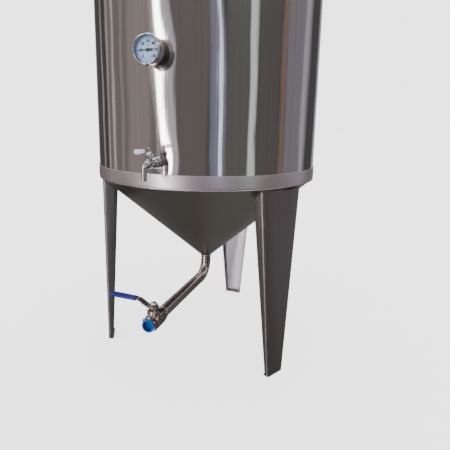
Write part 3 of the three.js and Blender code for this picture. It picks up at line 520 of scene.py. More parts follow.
def bright_metal(name, colour, roughness):
    """Polished or plated small parts, with faint swirl and fingerprints, and painted shade darkening the
    hollows.
    """
    s = Shader(name, Metallic=1.0)
    prints = s.noise(s.plain, 90.0, 5.0, 0.65)
    worn = s.mix(s.spread(prints, 0, 0.8, 0.45, 0.7), colour, tint(colour, 0.82))
    # Painted shade: the hollows are darkened to about a fifth of the colour.
    s.use("Base Color", s.mix(s.hollows(), worn, tint(colour, 0.22, 0.2, 0.18)))
    s.roughen(roughness, s.spread(prints, -0.02, 0.09))
    s.use("Normal", s.bump(s.noise(s.plain, 420.0, 2.0, 0.5), 0.04, 0.0002))
    return s.material


def moulded(name, colour, roughness, shade, scale=500.0, strength=0.08, **sheen):
    """Moulded plastic or paint: slight mottling, fine sink texture, scuffs along the edges."""
    s = Shader(name, Metallic=0.0, Subsurface_Radius=(0.004, 0.004, 0.005), **sheen)
    mottle = s.noise(s.plain, 45.0, 4.0, 0.6)
    base = s.mix(s.spread(mottle, 0, 1, 0.35, 0.7), colour, shade)
    pale = tuple(min(1.0, c * 1.25 + 0.03) for c in colour)
    s.use("Base Color", s.mix(s.edges(), base, pale))
    s.roughen(roughness, s.spread(mottle, -0.06, 0.08))
    s.use("Normal", s.bump(s.noise(s.plain, scale, 3.0, 0.5), strength, 0.0004))
    return s.material


def clear(name, colour, alpha, roughness):
    """Clear glass or plastic: mostly see-through, with a faint unevenness and a little dust."""
    s = Shader(name, Roughness=roughness)
    flow = s.noise(s.plain, 30.0, 3.0, 0.5)
    dust = s.noise(s.plain, 800.0, 3.0, 0.6)
    s.use("Base Color", s.mix(flow, colour, tint(colour, 0.95)))
    s.use("Alpha", s.spread(dust, alpha, alpha * 1.6, 0.45, 0.75))
    s.use("Normal", s.bump(flow, 0.02, 0.0005))
    return s.material


SHELL = mirror_sheet("shell_bright_annealed", (0.64, 0.615, 0.61), 0.078)
SATIN = brushed("band_satin", (0.78, 0.70, 0.735), 0.36, 3, 900, 0.2, 0.3, 0.25)
CONE = brushed("cone_satin", (0.36, 0.335, 0.305), 0.32, 300, 6, 0.12)
LEG = brushed("leg_satin", (0.30, 0.275, 0.27), 0.3, 60, 500)
# A lighter, lavender copy of the leg steel for the rear leg: painted light on its web.
LEG_REAR_LIT = brushed("rear_leg_satin_painted_light", (0.42, 0.38, 0.41), 0.3, 60, 500)
TUBE = brushed("tube_satin", (0.46, 0.405, 0.4), 0.24, 60, 260, 0.15, 0.4)
CAST = cast_metal("cast_stainless", (0.44, 0.38, 0.355), 0.17)
WELD = cast_metal("weld_bead", (0.58, 0.52, 0.5), 0.26, 1400, 0.15)
BRIGHT = bright_metal("bright_stainless", (0.6, 0.575, 0.58), 0.05)
CHROME = bright_metal("bezel_chrome", (0.56, 0.55, 0.57), 0.05)
CASE = bright_metal("gauge_case_steel", (0.5, 0.475, 0.45), 0.32)
# Dark navy for the thermometer's inner wall: painted shade inside the bezel.
GAUGE_WALL_SHADE = moulded("gauge_inner_wall_painted_shade", (0.03, 0.06, 0.12), 0.5, (0.022, 0.045, 0.09), 700, 0.03)
VINYL = moulded("blue_vinyl", (0.008, 0.018, 0.2), 0.36, (0.005, 0.012, 0.15), 700,
                Coat_Weight=0.05, Specular_IOR_Level=0.3)
CAP_BLUE = moulded("blue_cap", (0.002, 0.11, 0.46), 0.5, (0.001, 0.09, 0.4), 500, 0.06,
                   Specular_IOR_Level=0.12)
# A near-black navy copy of the cap's blue: painted shade on the recess wall.
CAP_RECESS_SHADE = moulded("blue_cap_painted_recess_shade", (0.001, 0.006, 0.1), 0.5, (0.001, 0.005, 0.085), 500, 0.06,
                   Specular_IOR_Level=0.12)
WHITE = moulded("white_grip", (0.82, 0.77, 1.0), 0.35, (0.74, 0.69, 0.9), 500, 0.05,
                Subsurface_Weight=0.1)
# A white face tinted blue: painted reflection of a bluish sky.
DIAL = moulded("dial_face_painted_sky_reflection", (0.44, 0.59, 1.0), 0.5, (0.41, 0.56, 0.98), 900, 0.02,
               Specular_IOR_Level=0.0)
INK = moulded("dial_ink", (0.006, 0.008, 0.02), 0.5, (0.005, 0.006, 0.015), 900, 0.02,
              Specular_IOR_Level=0.08)
NEEDLE = moulded("needle_black", (0.01, 0.011, 0.018), 0.35, (0.008, 0.008, 0.014), 900, 0.02,
                 Specular_IOR_Level=0.15)
GLASS = clear("lens_clear_glass", (0.92, 0.96, 1.0), 0.02, 0.03)
CLEAR = clear("airlock_clear", (0.85, 0.92, 0.95), 0.3, 0.06)
WATER = clear("airlock_water_clear", (0.8, 0.9, 0.95), 0.22, 0.02)
RED = moulded("airlock_cap_red", (0.5, 0.02, 0.014), 0.35, (0.4, 0.016, 0.012), 600, 0.06,
              Subsurface_Weight=0.1)
PALE = moulded("float_white", (0.7, 0.69, 0.66), 0.35, (0.62, 0.61, 0.58), 600, 0.05,
               Subsurface_Weight=0.2)
SILICONE = moulded("silicone_seal", (0.62, 0.6, 0.57), 0.5, (0.55, 0.53, 0.5), 800,
                   Subsurface_Weight=0.2)
PTFE = moulded("ptfe_white", (0.78, 0.78, 0.76), 0.45, (0.72, 0.72, 0.7), 800, 0.04,
               Subsurface_Weight=0.1)
BIMETAL = bright_metal("bimetal_strip", (0.5, 0.36, 0.2), 0.3)

# The record's slots. The first material of each one also dresses the CAD nodes in it.
SLOTS = {
    "polished_steel": [SHELL],
    "satin_steel": [TUBE, SATIN, WELD],
    "dark_satin_steel": [LEG, LEG_REAR_LIT, CONE],
    "cast_steel": [CAST],
    "bright_steel": [BRIGHT, CHROME, CASE, GAUGE_WALL_SHADE],
    "blue_vinyl": [VINYL],
    "blue_plastic": [CAP_BLUE, CAP_RECESS_SHADE],
    "white_plastic": [WHITE],
    "dial_face": [DIAL],
    "needle_black": [NEEDLE, INK],
    "lens_glass": [GLASS],
    "clear_plastic": [CLEAR, WATER],
    "red_plastic": [RED],
    "float_plastic": [PALE],
    "silicone": [SILICONE],
    "ptfe": [PTFE],
    "bimetal": [BIMETAL],
}


def slot_of(material):
    return next(slot for slot, materials in SLOTS.items() if material in materials)


def dress_cad_nodes():
    """Every CAD node gets the finished material of its slot; replaced ones are hidden later."""
    for part in frame["record"]["subparts"]:
        data = frame["nodes"][part["node"]].data
        data.materials.clear()
        data.materials.append(SLOTS[part["material_slot"]][0])


# ------------------------------------------------------------------ tank

WALL = 2.0
DENT_DEPTH = 2.6                  # how far welding has pulled the sheet in at a fitting
DENT_SPREAD = 36.0
BEAD_RADIUS = 3.0                 # of the rolled rim


def make_shell():
    bead = [(RIM_RADIUS - BEAD_RADIUS + BEAD_RADIUS * math.cos(a),
             RIM_Z - BEAD_RADIUS + BEAD_RADIUS * math.sin(a))
            for a in (math.radians(-90 + 180 * i / 8) for i in range(9))]
    heights = stations(CREASE_Z, DIAL_Z + 130, 7) + stations(DIAL_Z + 180, RIM_Z - 12, 60)
    outline = [(TANK_RADIUS, z) for z in heights]
    outline += [(TANK_RADIUS, RIM_Z - 7, 1.0)] + bead + [(TANK_RADIUS - WALL, RIM_Z, 1.0)]
    outline += [(TANK_RADIUS - WALL, z) for z in reversed(heights)]

    def dented(angle, radius, along):
        across = TANK_RADIUS * ((angle + math.pi) % (2 * math.pi) - math.pi)
        for height in (TAP_Z, DIAL_Z):
            away = (across ** 2 + (along - height) ** 2) / (2 * DENT_SPREAD ** 2)
            radius -= DENT_DEPTH * math.exp(-away)
        return radius

    turned("shell_sheet", outline, up_frame(), SHELL, "tank", ("shell",), 300, dented)


def make_band():
    inner = TANK_RADIUS + 0.3
    outer = BAND_RADIUS
    outline = [
        (inner, CREASE_Z + 0.2), (outer - 1.1, CREASE_Z - 0.1, 0.6),
        (outer - 0.1, CREASE_Z + 3.5, 3.0), (outer, CREASE_Z + 8), (outer, BAND_TOP, 0.5),
        (inner, BAND_TOP),
    ]
    turned("band_sheet", outline, up_frame(), SATIN, "tank", ("lower_band",), 256)


def cone_reach(z):
    """The cone's outside radius at a height."""
    slope = (CREASE_Z - OUTLET_Z) / (TANK_RADIUS - PIPE_RADIUS)
    return PIPE_RADIUS + (z - OUTLET_Z) / slope


def make_cone():
    edge = BAND_RADIUS - 1.2
    outlet = PIPE_RADIUS + 0.4
    thick = WALL * 1.4
    outline = [(edge, CREASE_Z - 0.3), (edge - 0.6, CREASE_Z - 1.6, 0.8)]
    outline += [(cone_reach(z), z) for z in stations(CREASE_Z - 4, OUTLET_Z + 22, 24)]
    outline += [
        (cone_reach(OUTLET_Z + 6) + 0.6, OUTLET_Z + 6, 7.0), (outlet, OUTLET_Z),
        (outlet - 1.5, OUTLET_Z), (outlet - 1.5, OUTLET_Z + 6, 4.0),
        (edge - thick * 1.6, CREASE_Z - 0.3),
    ]
    turned("cone_sheet", outline, up_frame(), CONE, "tank", ("cone_bottom",), 192)


def make_tank_welds():
    bm = bmesh.new()
    weld_bead(bm, up_frame(), BAND_RADIUS - 1.3, CREASE_Z - 0.6, 1.7, 900, seed=1.0)
    weld_bead(bm, up_frame(), PIPE_RADIUS + 0.2, OUTLET_Z - 0.2, 2.2, 120, seed=2.0)
    finish_mesh("tank_weld_beads", bm, WELD, "tank")


def make_legs():
    # The rear leg takes the lighter copy of the leg steel: painted light.
    for side, sheet in (("right", LEG), ("left", LEG), ("rear", LEG_REAR_LIT)):
        refined(f"leg_{side}_sheet", f"leg_{side}", sheet, "tank", 0.7)
        refined(f"foot_{side}_plate", f"foot_{side}", sheet, "tank", 0.5, 2)


# ------------------------------------------------------------------ drain

ELBOW_BEND = 43.5
VALVE_HEX = 34.0                  # hexagons, across their flats
TAIL_HEX = 32.0
LOCK_HEX = 15.0
GLAND_HEX = 19.0
BARREL_RADIUS = 19.5
WAIST_RADIUS = 17.2
PLUG_BORE = 12.8
LUG_OUT = 9.4                     # the stop lugs' distance from the stem, each way
CASTING_VOXEL = 0.7
ROOT_3 = math.sqrt(3)             # from flats to the corner's radius


def make_drain_tube():
    elbow = [Vector((0, y, z)) for y, z in (
        (AXIS_Y, OUTLET_Z - 0.2), (AXIS_Y, PIPE_Z), (low("drain_elbow").y, PIPE_Z))]
    tube("drain_elbow_tube", bent_points(elbow, ELBOW_BEND, 2.5), PIPE_RADIUS, TUBE, ("drain_elbow",))
    start = Vector((0, high("drain_pipe").y, PIPE_Z))
    end = Vector((0, low("drain_pipe").y, PIPE_Z))
    tube("drain_straight_tube", [start.lerp(end, t) for t in stations(0, 1, 0.08)],
         PIPE_RADIUS, TUBE, ("drain_pipe",))
    place = front_frame(PIPE_Z)
    bm = bmesh.new()
    weld_bead(bm, place, PIPE_RADIUS - 0.2, front_of("drain_elbow") + 0.15, 1.8, 96, seed=3.0)
    weld_bead(bm, place, PIPE_RADIUS, front_of("drain_pipe") + 0.3, 2.6, 96, seed=4.0, ripple=0.4)
    finish_mesh("drain_weld_beads", bm, WELD, "tank")


def make_valve_tail():
    rear = rear_of("valve_tail")
    front = front_of("valve_tail")
    shoulder = rear_of("valve_body") - 0.3
    hex_start = rear + 5
    corner = TAIL_HEX / ROOT_3
    outline = [
        (10, rear), (PIPE_RADIUS, rear, 0.5), (PIPE_RADIUS + 1.2, rear + 3, 1.5),
        (TAIL_HEX / 2 - 1.0, hex_start, 0.8), (TAIL_HEX / 2 - 0.4, hex_start + 0.4),
        (corner, hex_start + 2.6),
    ]
    outline += [(corner, s) for s in stations(hex_start + 4, shoulder - 3.2, 2)]
    outline += [(corner, shoulder - 2.2), (TAIL_HEX / 2 - 0.4, shoulder), (15.6, shoulder)]
    outline += [(15.6, front), (10, front)]
    turned("valve_tail_cast", outline, front_frame(PIPE_Z), CAST, "tank", ("valve_tail",),
           96, hexagonal(TAIL_HEX))


def make_valve_body():
    rear = rear_of("valve_body")
    front = front_of("valve_body")
    plug_rear = rear_of("thread_cap")
    hex_start = STEM_OUT + 14
    bm = bmesh.new()
    barrel = [
        (0, rear), (WAIST_RADIUS, rear, 1.0), (BARREL_RADIUS - 0.2, rear + 3.4, 2.0),
        (BARREL_RADIUS, rear + 12), (BARREL_RADIUS, STEM_OUT + 8, 2.0),
        (WAIST_RADIUS, hex_start + 1.0, 1.0), (WAIST_RADIUS, front - 3), (PLUG_BORE, front - 3),
        (PLUG_BORE, plug_rear - 1), (0, plug_rear - 1),
    ]
    turn(bm, barrel, front_frame(PIPE_Z), 96)
    pad = [(0, 0), (13, 0), (13, 19.5, 1.5), (11, 22.5, 1.0), (11, 25.6, 0.6), (0, 25.6)]
    turn(bm, pad, up_frame(0, STEM_Y, PIPE_Z), 64)
    lug = [(0, 0), (3.2, 0), (3.2, 29.5, 0.8), (0, 29.5)]
    for x in (-LUG_OUT, LUG_OUT):
        turn(bm, lug, up_frame(x, STEM_Y - LUG_OUT, PIPE_Z), 24)
    body = finish_mesh("valve_body_cast", bm, CAST, "tank", ("valve_body",))
    voxel_blend(body, CASTING_VOXEL, smooth_rounds=4)

    corner = VALVE_HEX / ROOT_3
    chamfer = VALVE_HEX / 2 - 0.6
    outline = [(12.7, front), (chamfer, front, 0.4), (corner, front - 2.2)]
    outline += [(corner, s) for s in reversed(stations(hex_start + 3, front - 3, 2))]
    outline += [(corner, hex_start + 2.2), (chamfer, hex_start, 0.4), (12.7, hex_start)]
    turned("valve_front_hexagon", outline, front_frame(PIPE_Z), CAST, "tank", (),
           96, hexagonal(VALVE_HEX))


def hex_nut(name, flats, lower, upper, hole, place, material, body, nodes):
    """A hexagon nut with turned chamfers."""
    corner = flats / ROOT_3
    cut = min(1.6, (upper - lower) * 0.3)
    outline = [(hole, lower), (flats / 2 - 0.3, lower, 0.2), (corner, lower + cut)]
    outline += [(corner, z) for z in stations(lower + cut + 0.2, upper - cut - 0.2, 1.5)]
    outline += [(corner, upper - cut), (flats / 2 - 0.3, upper, 0.2), (hole, upper)]
    turned(name, outline, place, material, body, nodes, 72, hexagonal(flats))


def make_stem_stack():
    place = up_frame(0, STEM_Y)
    hex_nut("valve_gland_hexagon", GLAND_HEX, PIPE_Z + 26.3, high("valve_gland_nut").z, 5.3, place,
            CAST, "tank", ("valve_gland_nut",))
    nut_low, nut_high = low("valve_lever_nut").z, high("valve_lever_nut").z
    corner = LOCK_HEX / ROOT_3
    acorn = [(5.1, nut_low), (LOCK_HEX / 2 - 0.3, nut_low, 0.2), (corner, nut_low + 1.2)]
    acorn += [(corner, z) for z in stations(nut_low + 1.6, nut_low + 4.2, 1)]
    acorn += [(corner, nut_low + 4.6), (LOCK_HEX / 2 - 0.2, nut_low + 5.8, 0.4)]
    acorn += [(6.9 * math.cos(a), nut_high - 4.0 + 4.0 * math.sin(a))
              for a in (math.radians(10 * k) for k in range(1, 9))]
    acorn += [(0, nut_high), (0, nut_high - 1.0), (5.1, nut_high - 1.6)]
    turned("lever_lock_nut", acorn, place, BRIGHT, "drain_handle", ("valve_lever_nut",),
           72, hexagonal(LOCK_HEX, 0.25))
    top = nut_high - 1.8
    base = low("valve_stem").z
    thread_from = nut_low - 1
    stem = [(0, base), (4.6, base)]
    stem += [(5.0, z) for z in stations(base + 0.5, thread_from, 4)]
    stem += [(5.0, z) for z in stations(thread_from + 0.2, top - 0.8, 0.3)]
    stem += [(4.3, top, 0.3), (0, top)]
    turned("valve_stem_threaded", stem, place, BRIGHT, "drain_handle", ("valve_stem",),
           48, threaded(1.25, 0.45, thread_from, top - 0.6))


LEVER_LOW = 33.0
LEVER_HIGH = 45.0
LEVER_SHEET = 3.0
LEVER_REACH = 116.0
LEVER_TIP_RADIUS = 8.0
LEVER_HUB = 12.0
CRANK_START = 15.0                # reaches from the stem
CRANK_END = 38.0
SLEEVE_START = 44.0
SLEEVE_END = LEVER_REACH + 2


def lever_height(x):
    """Height of the lever's underside above the pipe's centreline, x being the reach from the stem."""
    t = min(max((x - CRANK_START) / (CRANK_END - CRANK_START), 0), 1)
    eased = t * t * (3 - 2 * t)
    return LEVER_LOW + (LEVER_HIGH - LEVER_LOW) * (0.75 * t + 0.25 * eased)


def lever_half_width(x):
    tip = LEVER_REACH - 2
    if x < 6:
        return math.sqrt(max(LEVER_HUB ** 2 - x * x, 0.04))
    if x > tip - 6:
        return 1.0 + math.sqrt(max(6 ** 2 - (x - tip + 6) ** 2, 0.0))
    if x > CRANK_END:
        return 7 + 1.5 * max(1 - (x - CRANK_END) / 6, 0)
    return 8.5 + 1.9 * max(1 - (x - 6) / 9, 0) ** 1.5


def flat_section(half_width, thickness, corner):
    """A flat strip's section with rounded corners."""
    points = []
    w, h = max(half_width - corner, 0), thickness / 2 - corner
    for cx, cy, start in ((w, h, 0), (-w, h, 90), (-w, -h, 180), (w, -h, 270)):
        for angle in (math.radians(start + 30 * k) for k in range(4)):
            points.append((cx + corner * math.cos(angle), cy + corner * math.sin(angle)))
    return points


def tip_reaches(end, radius, degrees):
    """Reaches that close up towards a round tip."""
    return [end - radius + radius * math.sin(math.radians(a)) for a in degrees]


def flat_bar(name, rows, side, material, body, nodes):
    """Sweeps flat sections. A row is a point, the way up there, half width, thickness and corner."""
    bm = bmesh.new()
    sweep(bm, [row[0] for row in rows], [flat_section(*row[2:]) for row in rows],
          [(Vector(side), row[1]) for row in rows])
    finish_mesh(name, bm, material, body, nodes)


def make_lever():
    """The cranked strip, towards -X from the stem."""
    middle_z = PIPE_Z + LEVER_SHEET / 2
    reaches = [-11.95, -11.6, -10.8, -9.5, -7.5, -5, -2] + stations(0, 14, 3)[1:]
    reaches += stations(15, 40, 1.5) + stations(43, LEVER_REACH - 11, 6)
    reaches += tip_reaches(LEVER_REACH - 2, LEVER_TIP_RADIUS, range(10, 90, 12))
    rows = []
    for x in sorted(reaches):
        rise = lever_height(x + 0.5) - lever_height(x - 0.5)
        rows.append((Vector((-x, STEM_Y, middle_z + lever_height(x))), Vector((rise, 0, 1)).normalized(),
                     max(lever_half_width(x), 0.85), LEVER_SHEET, 0.8))
    flat_bar("drain_lever_strip", rows, (0, 1, 0), TUBE, "drain_handle", ("valve_lever",))


def sleeve_half_width(x):
    bulge = 0.6 * math.sin(math.pi * (x - SLEEVE_START) / (SLEEVE_END - SLEEVE_START))
    body = 8.3 + bulge + 0.6 * min((x - SLEEVE_START) / 1.5, 1)
    into_tip = max(x - SLEEVE_END + LEVER_TIP_RADIUS, 0)
    return body * math.sqrt(max(1 - (into_tip / 8.2) ** 2, 0.01))


def make_sleeve():
    middle_z = PIPE_Z + LEVER_HIGH + LEVER_SHEET / 2
    reaches = [SLEEVE_START + start for start in (0, 0.3, 0.9, 1.6)]
    reaches += stations(SLEEVE_START + 4, SLEEVE_END - 9, 4)
    reaches += tip_reaches(SLEEVE_END, LEVER_TIP_RADIUS, range(5, 91, 8))
    rows = []
    for x in reaches:
        open_end = math.sqrt(min((x - SLEEVE_START) / 1.6, 1))
        closed_end = math.sqrt(max(min((SLEEVE_END - x) / 5, 1), 0))
        thickness = (5.9 + 0.9 * open_end) * (0.6 + 0.4 * closed_end)
        corner = min(thickness * 0.42, 3.0)
        rows.append((Vector((-x, STEM_Y, middle_z)), Vector((0, 0, 1)),
                     max(sleeve_half_width(x), corner + 0.1), thickness, corner))
    flat_bar("drain_lever_sleeve", rows, (0, 1, 0), VINYL, "drain_handle", ("valve_lever_sleeve",))


def make_thread_cap():
    place = front_frame(PIPE_Z)
    front = front_of("thread_cap")
    rear = rear_of("thread_cap")
    flange = front_of("valve_body") + 0.3
    outline = [
        (0, rear), (11.4, rear, 0.8), (12.1, flange - 0.4), (12.6, flange), (14.4, flange, 0.6),
        (14.6, front - 1.6), (14.1, front, 1.2), (11.7, front, 0.9), (10.3, rear + 2.4, 1.2),
        (0, rear + 2.0),
    ]
    turned("outlet_thread_cap", outline, place, CAP_BLUE, "outlet_cap", ("thread_cap",), 96)
    # A thin navy ring lining the recess wall: painted shade where the recess lies in shadow.
    recess = [(11.5, front - 1.0), (10.35, rear + 2.6), (10.2, rear + 2.6), (11.2, front - 1.0)]
    turned("outlet_cap_recess_painted_shade", recess, place, CAP_RECESS_SHADE, "outlet_cap", (), 96)
    gate = [(0, rear + 1.9), (2.1, rear + 1.9), (1.6, rear + 3.0, 0.5), (0, rear + 3.1)]
    turned("outlet_cap_gate_mark", gate, place, CAP_BLUE, "outlet_cap", (), 32)


# ------------------------------------------------------------------ sample tap

TAP_BARREL = 9.0
TAP_BORE_WALL = 1.4
SPOUT_RADIUS = 6.25
SPOUT_BEND = 8.9
BONNET_HEX = 17.0
TAP_NUT_HEX = 9.0
GRIP_TIP_RADIUS = 4.0
RIB_PITCH = 4.4


def weld_socket(name, node, bore, radius, place):
    """A short round boss, welded into the shell."""
    rear, front = TANK_RADIUS - 5, front_of(node)
    outline = [(bore, rear), (radius, rear), (radius, front, 0.8), (bore, front)]
    turned(name, outline, place, TUBE, "tank", (node,), 64)


def make_tap():
    place = front_frame(TAP_Z)
    weld_socket("tap_weld_boss", "tap_boss", 8, 12, place)
    collar = front_of("tap_boss") + 0.3
    end = TAP_OUT + 12
    barrel = [
        (0, TANK_RADIUS - 12), (7.7, TANK_RADIUS - 12, 0.5), (7.7, collar), (11, collar, 0.6),
        (11, collar + 6, 0.8), (TAP_BARREL, collar + 7.4),
    ]
    groove = [(0, -1.5), (0.9, -0.9), (1.1, 0), (0.9, 0.9), (0, 1.5)]
    for s in stations(collar + 10, TAP_OUT - 10, RIB_PITCH):
        barrel += [(TAP_BARREL - depth, s + along) for depth, along in groove]
    barrel += [
        (TAP_BARREL, TAP_OUT - 8.4), (TAP_BARREL, TAP_OUT + 9.6, 2.0), (7.2, end, 1.5), (0, end + 0.6),
    ]
    bm = bmesh.new()
    turn(bm, barrel, place)
    turn(bm, [(0, 0), (7.5, 0), (7.5, 12, 0.8), (0, 12)], up_frame(0, TAP_Y, TAP_Z), 48)
    finish_mesh("tap_barrel", bm, BRIGHT, "tank", ("tap_body",))
    corners = [Vector((0, TAP_Y - reach, z)) for reach, z in (
        (8, TAP_Z), (20, TAP_Z), (20.6, low("tap_body").z))]
    tube("tap_spout", bent_points(corners, SPOUT_BEND, 1.2), SPOUT_RADIUS, BRIGHT, (),
         TAP_BORE_WALL, 40)
    ring = [(0, end - 0.6), (6.6, end - 0.6, 0.4), (6.6, end + 1.2, 0.5), (5.2, end + 1.4), (0, end + 1.4)]
    turned("tap_spout_collar", ring, place, BRIGHT, "tank", (), 40)


def make_tap_handle():
    place = up_frame(0, TAP_Y, TAP_Z)
    dome_top = low("tap_lever").z - TAP_Z - 0.3
    bonnet = [
        (3.3, 12.3), (8.2, 12.3, 0.3), (9.8, 13.6), (9.8, 15), (9.8, 17), (9.8, 19.2),
        (8.2, 20.6, 0.3), (6.9, 21.0, 0.5), (6.6, 22.4, 0.8), (4.9, dome_top - 0.1, 0.6),
        (3.3, dome_top),
    ]
    turned("tap_bonnet_nut", bonnet, place, BRIGHT, "tank", ("tap_bonnet",), 72, hexagonal(BONNET_HEX))
    arm_top = high("tap_lever").z - TAP_Z
    stem_top = high("tap_rotor").z - TAP_Z
    stem = [(0, 8), (3, 8)] + [(3.0, z) for z in stations(12, arm_top, 3)]
    stem += [(3.0, z) for z in stations(arm_top + 0.2, stem_top - 0.5, 0.25)]
    stem += [(2.5, stem_top, 0.2), (0, stem_top)]
    turned("tap_stem", stem, place, BRIGHT, "tap_handle", (), 36,
           threaded(0.8, 0.3, arm_top, stem_top - 0.4))
    hex_nut("tap_lock_nut", TAP_NUT_HEX, arm_top + 0.3, arm_top + 4, 3.1, place, BRIGHT, "tap_handle",
            ("tap_lever_nut",))
    refined("tap_lever_arm", "tap_lever", BRIGHT, "tap_handle", 0.4)

    start = TAP_Y - high("tap_lever_cover").y
    end = TAP_Y - low("tap_lever_cover").y
    reaches = [start, start + 0.4, start + 1.4] + stations(start + 4, end - 5, 4)
    reaches += tip_reaches(end, GRIP_TIP_RADIUS, (15, 35, 55, 72, 90))
    rows = []
    for y in reaches:
        t = (y - start) / (end - start)
        open_end = 0.9 + 0.1 * min((y - start) / 1.4, 1)
        closed_end = math.sqrt(1 - (max(0, y - end + GRIP_TIP_RADIUS) / 4.05) ** 2)
        half = (4.9 + 1.1 * t) * open_end * (0.5 + 0.5 * closed_end)
        thick = (7.0 + 3.0 * t) * open_end * (0.75 + 0.25 * closed_end)
        rows.append((Vector((0, TAP_Y - y, TAP_Z + arm_top - 1.75)), Vector((0, 0, 1)),
                     half, thick, min(3.2, thick * 0.4, half * 0.8)))
    flat_bar("tap_lever_grip", rows, (1, 0, 0), WHITE, "tap_handle", ("tap_lever_cover",))


# ------------------------------------------------------------------ thermometer

PROBE_HEX = 22.0
DIAL_RADIUS = 27.6
NUMBER_RADIUS = 17.0
NUMBER_SIZE = 7.4
UNIT_SIZE = 5.0
SCALE_RADIUS = 26.2               # where the ticks end
SCALE_START = 225.0               # degrees anticlockwise from three o'clock, at 0 on the scale
SCALE_SWEEP = 270.0
SCALE_END = 120
INK_HEIGHT = 0.12


def make_thermometer():
    place = front_frame(DIAL_Z)
    weld_socket("thermometer_weld_socket", "thermometer_socket", 8.5, 13, place)
    tip = rear_of("thermometer_probe")
    back = rear_of("thermometer_case")
    hex_from = front_of("thermometer_socket") + 2.3
    probe = [
        (0, tip), (4, tip, 1.2), (4, TANK_RADIUS - 6), (8.2, TANK_RADIUS - 6, 0.5), (8.2, hex_from),
        (12.4, hex_from, 0.2),
    ]
    probe += [(12.7, hex_from + 0.6 + i) for i in range(5)]
    probe += [(11.2, back - 0.5), (9.2, back - 0.35), (0, back - 0.3)]
    turned("thermometer_probe_turned", probe, place, BRIGHT, "tank", ("thermometer_probe",),
           72, hexagonal(PROBE_HEX))
    front = front_of("thermometer_bezel")
    case = [
        (2, back), (26, back, 2.2), (29, back + 3.4, 1.6), (29, front - 10.2), (28.6, front - 10),
        (28.6, front - 4), (27.9, front - 4), (27.9, back + 4, 1.0), (25.6, back + 1.2, 1.5),
        (2, back + 1.2),
    ]
    turned("thermometer_case_turned", case, place, CASE, "tank", ("thermometer_case",), 96)
    bezel = [
        (29.25, front - 10, 0.3), (30.6, front - 10, 0.6), (31.0, front - 8.2, 0.6),
        (30.7, front - 7.4, 0.4), (31.4, front - 6.2, 1.0), (31.5, front - 2.2, 1.6),
        (29.4, front, 1.6), (28.2, front - 0.6, 0.5), (27.6, front - 2.2, 0.4), (28.7, front - 2.6),
        (29.25, front - 3),
    ]
    turned("thermometer_bezel_ring", bezel, place, CHROME, "tank", ("thermometer_bezel",), 128)
    # A thin dark ring inside the case, between the bezel and the dial: painted shade on the inner wall.
    wall_shade = [(27.75, back + 6), (27.85, back + 6), (27.85, front - 4.1), (27.5, front - 4.1)]
    turned("thermometer_inner_wall_painted_shade", wall_shade, place, GAUGE_WALL_SHADE, "tank", (), 96)
    inside, outside = rear_of("thermometer_lens") + 0.4, front_of("thermometer_lens")
    lens = [(0, inside), (28.4, inside), (28.4, outside - 0.5, 0.2), (0, outside - 0.1)]
    turned("thermometer_window", lens, place, GLASS, "tank", ("thermometer_lens",), 96)
    face = front_of("thermometer_dial")
    # The dial plate's blue is painted sky reflection on a white face.
    dial = [(1.2, face - 0.8), (DIAL_RADIUS, face - 0.8), (DIAL_RADIUS, face - 0.2, 0.1), (1.2, face)]
    turned("thermometer_dial_plate", dial, place, DIAL, "tank", ("thermometer_dial",), 96)
    make_dial_marks(place @ Matrix.Translation((0, 0, face)))
    make_needle(place @ Matrix.Translation((0, 0, face)))


def scale_angle(value):
    """Where a value stands on the scale, anticlockwise from three o'clock."""
    return math.radians(SCALE_START - SCALE_SWEEP * value / SCALE_END)


def on_dial(angle, radius):
    return Vector((radius * math.cos(angle), radius * math.sin(angle), 0))


def make_dial_marks(place):
    """Ticks and numbers every 20 degrees, a line of short ticks, and the unit."""
    bm = bmesh.new()
    for value in range(0, SCALE_END + 1, 2):
        angle = scale_angle(value)
        inner, width = 24.6, 0.35
        if value % 10 == 0:
            inner, width = 23.2, 0.8
        if value % 20 == 0:
            inner, width = 21.4, 1.3
        half = width / 2
        tick = [(inner, -half), (SCALE_RADIUS, -half), (SCALE_RADIUS, half), (inner, half)]
        plate(bm, tick, 0, INK_HEIGHT, place @ Matrix.Rotation(angle, 4, "Z"))
    angles = [scale_angle(SCALE_END * i / 72) for i in range(73)]
    line = [(-0.15, 0), (0.15, 0), (0.15, INK_HEIGHT), (-0.15, INK_HEIGHT)]
    turning = place.to_3x3()
    sweep(bm, [place @ on_dial(a, SCALE_RADIUS + 0.1) for a in angles], [line] * len(angles),
          [(turning @ on_dial(a, 1), turning @ Vector((0, 0, 1))) for a in angles])
    finish_mesh("dial_scale_marks", bm, INK, "tank")
    for value in range(0, SCALE_END + 1, 20):
        centre = on_dial(scale_angle(value), NUMBER_RADIUS)
        place_text(f"dial_number_{value}", str(value), place, centre, NUMBER_SIZE)
    place_text("dial_unit", "°C", place, Vector((0, 8.6, 0)), UNIT_SIZE)


def place_text(name, words, place, centre, size):
    """Raised ink lettering, centred on a point of the dial."""
    curve = bpy.data.curves.new(name, "FONT")
    curve.body = words
    curve.size = size * MM
    curve.align_x = "CENTER"
    curve.align_y = "CENTER"
    curve.extrude = INK_HEIGHT / 2 * MM
    curve.offset = 0.32 * MM
    lettering = add_object(name, curve)
    bpy.context.view_layer.update()
    graph = bpy.context.evaluated_depsgraph_get()
    mesh = bpy.data.meshes.new_from_object(lettering.evaluated_get(graph))
    bpy.data.objects.remove(lettering)
    centre = place @ (centre + Vector((0, 0, 0.05)))
    mesh.transform(Matrix.Translation(centre * MM) @ place.to_3x3().to_4x4())
    mesh.materials.clear()
    mesh.materials.append(INK)
    solid = add_object(name + "_ink", mesh)
    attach(solid, "tank")


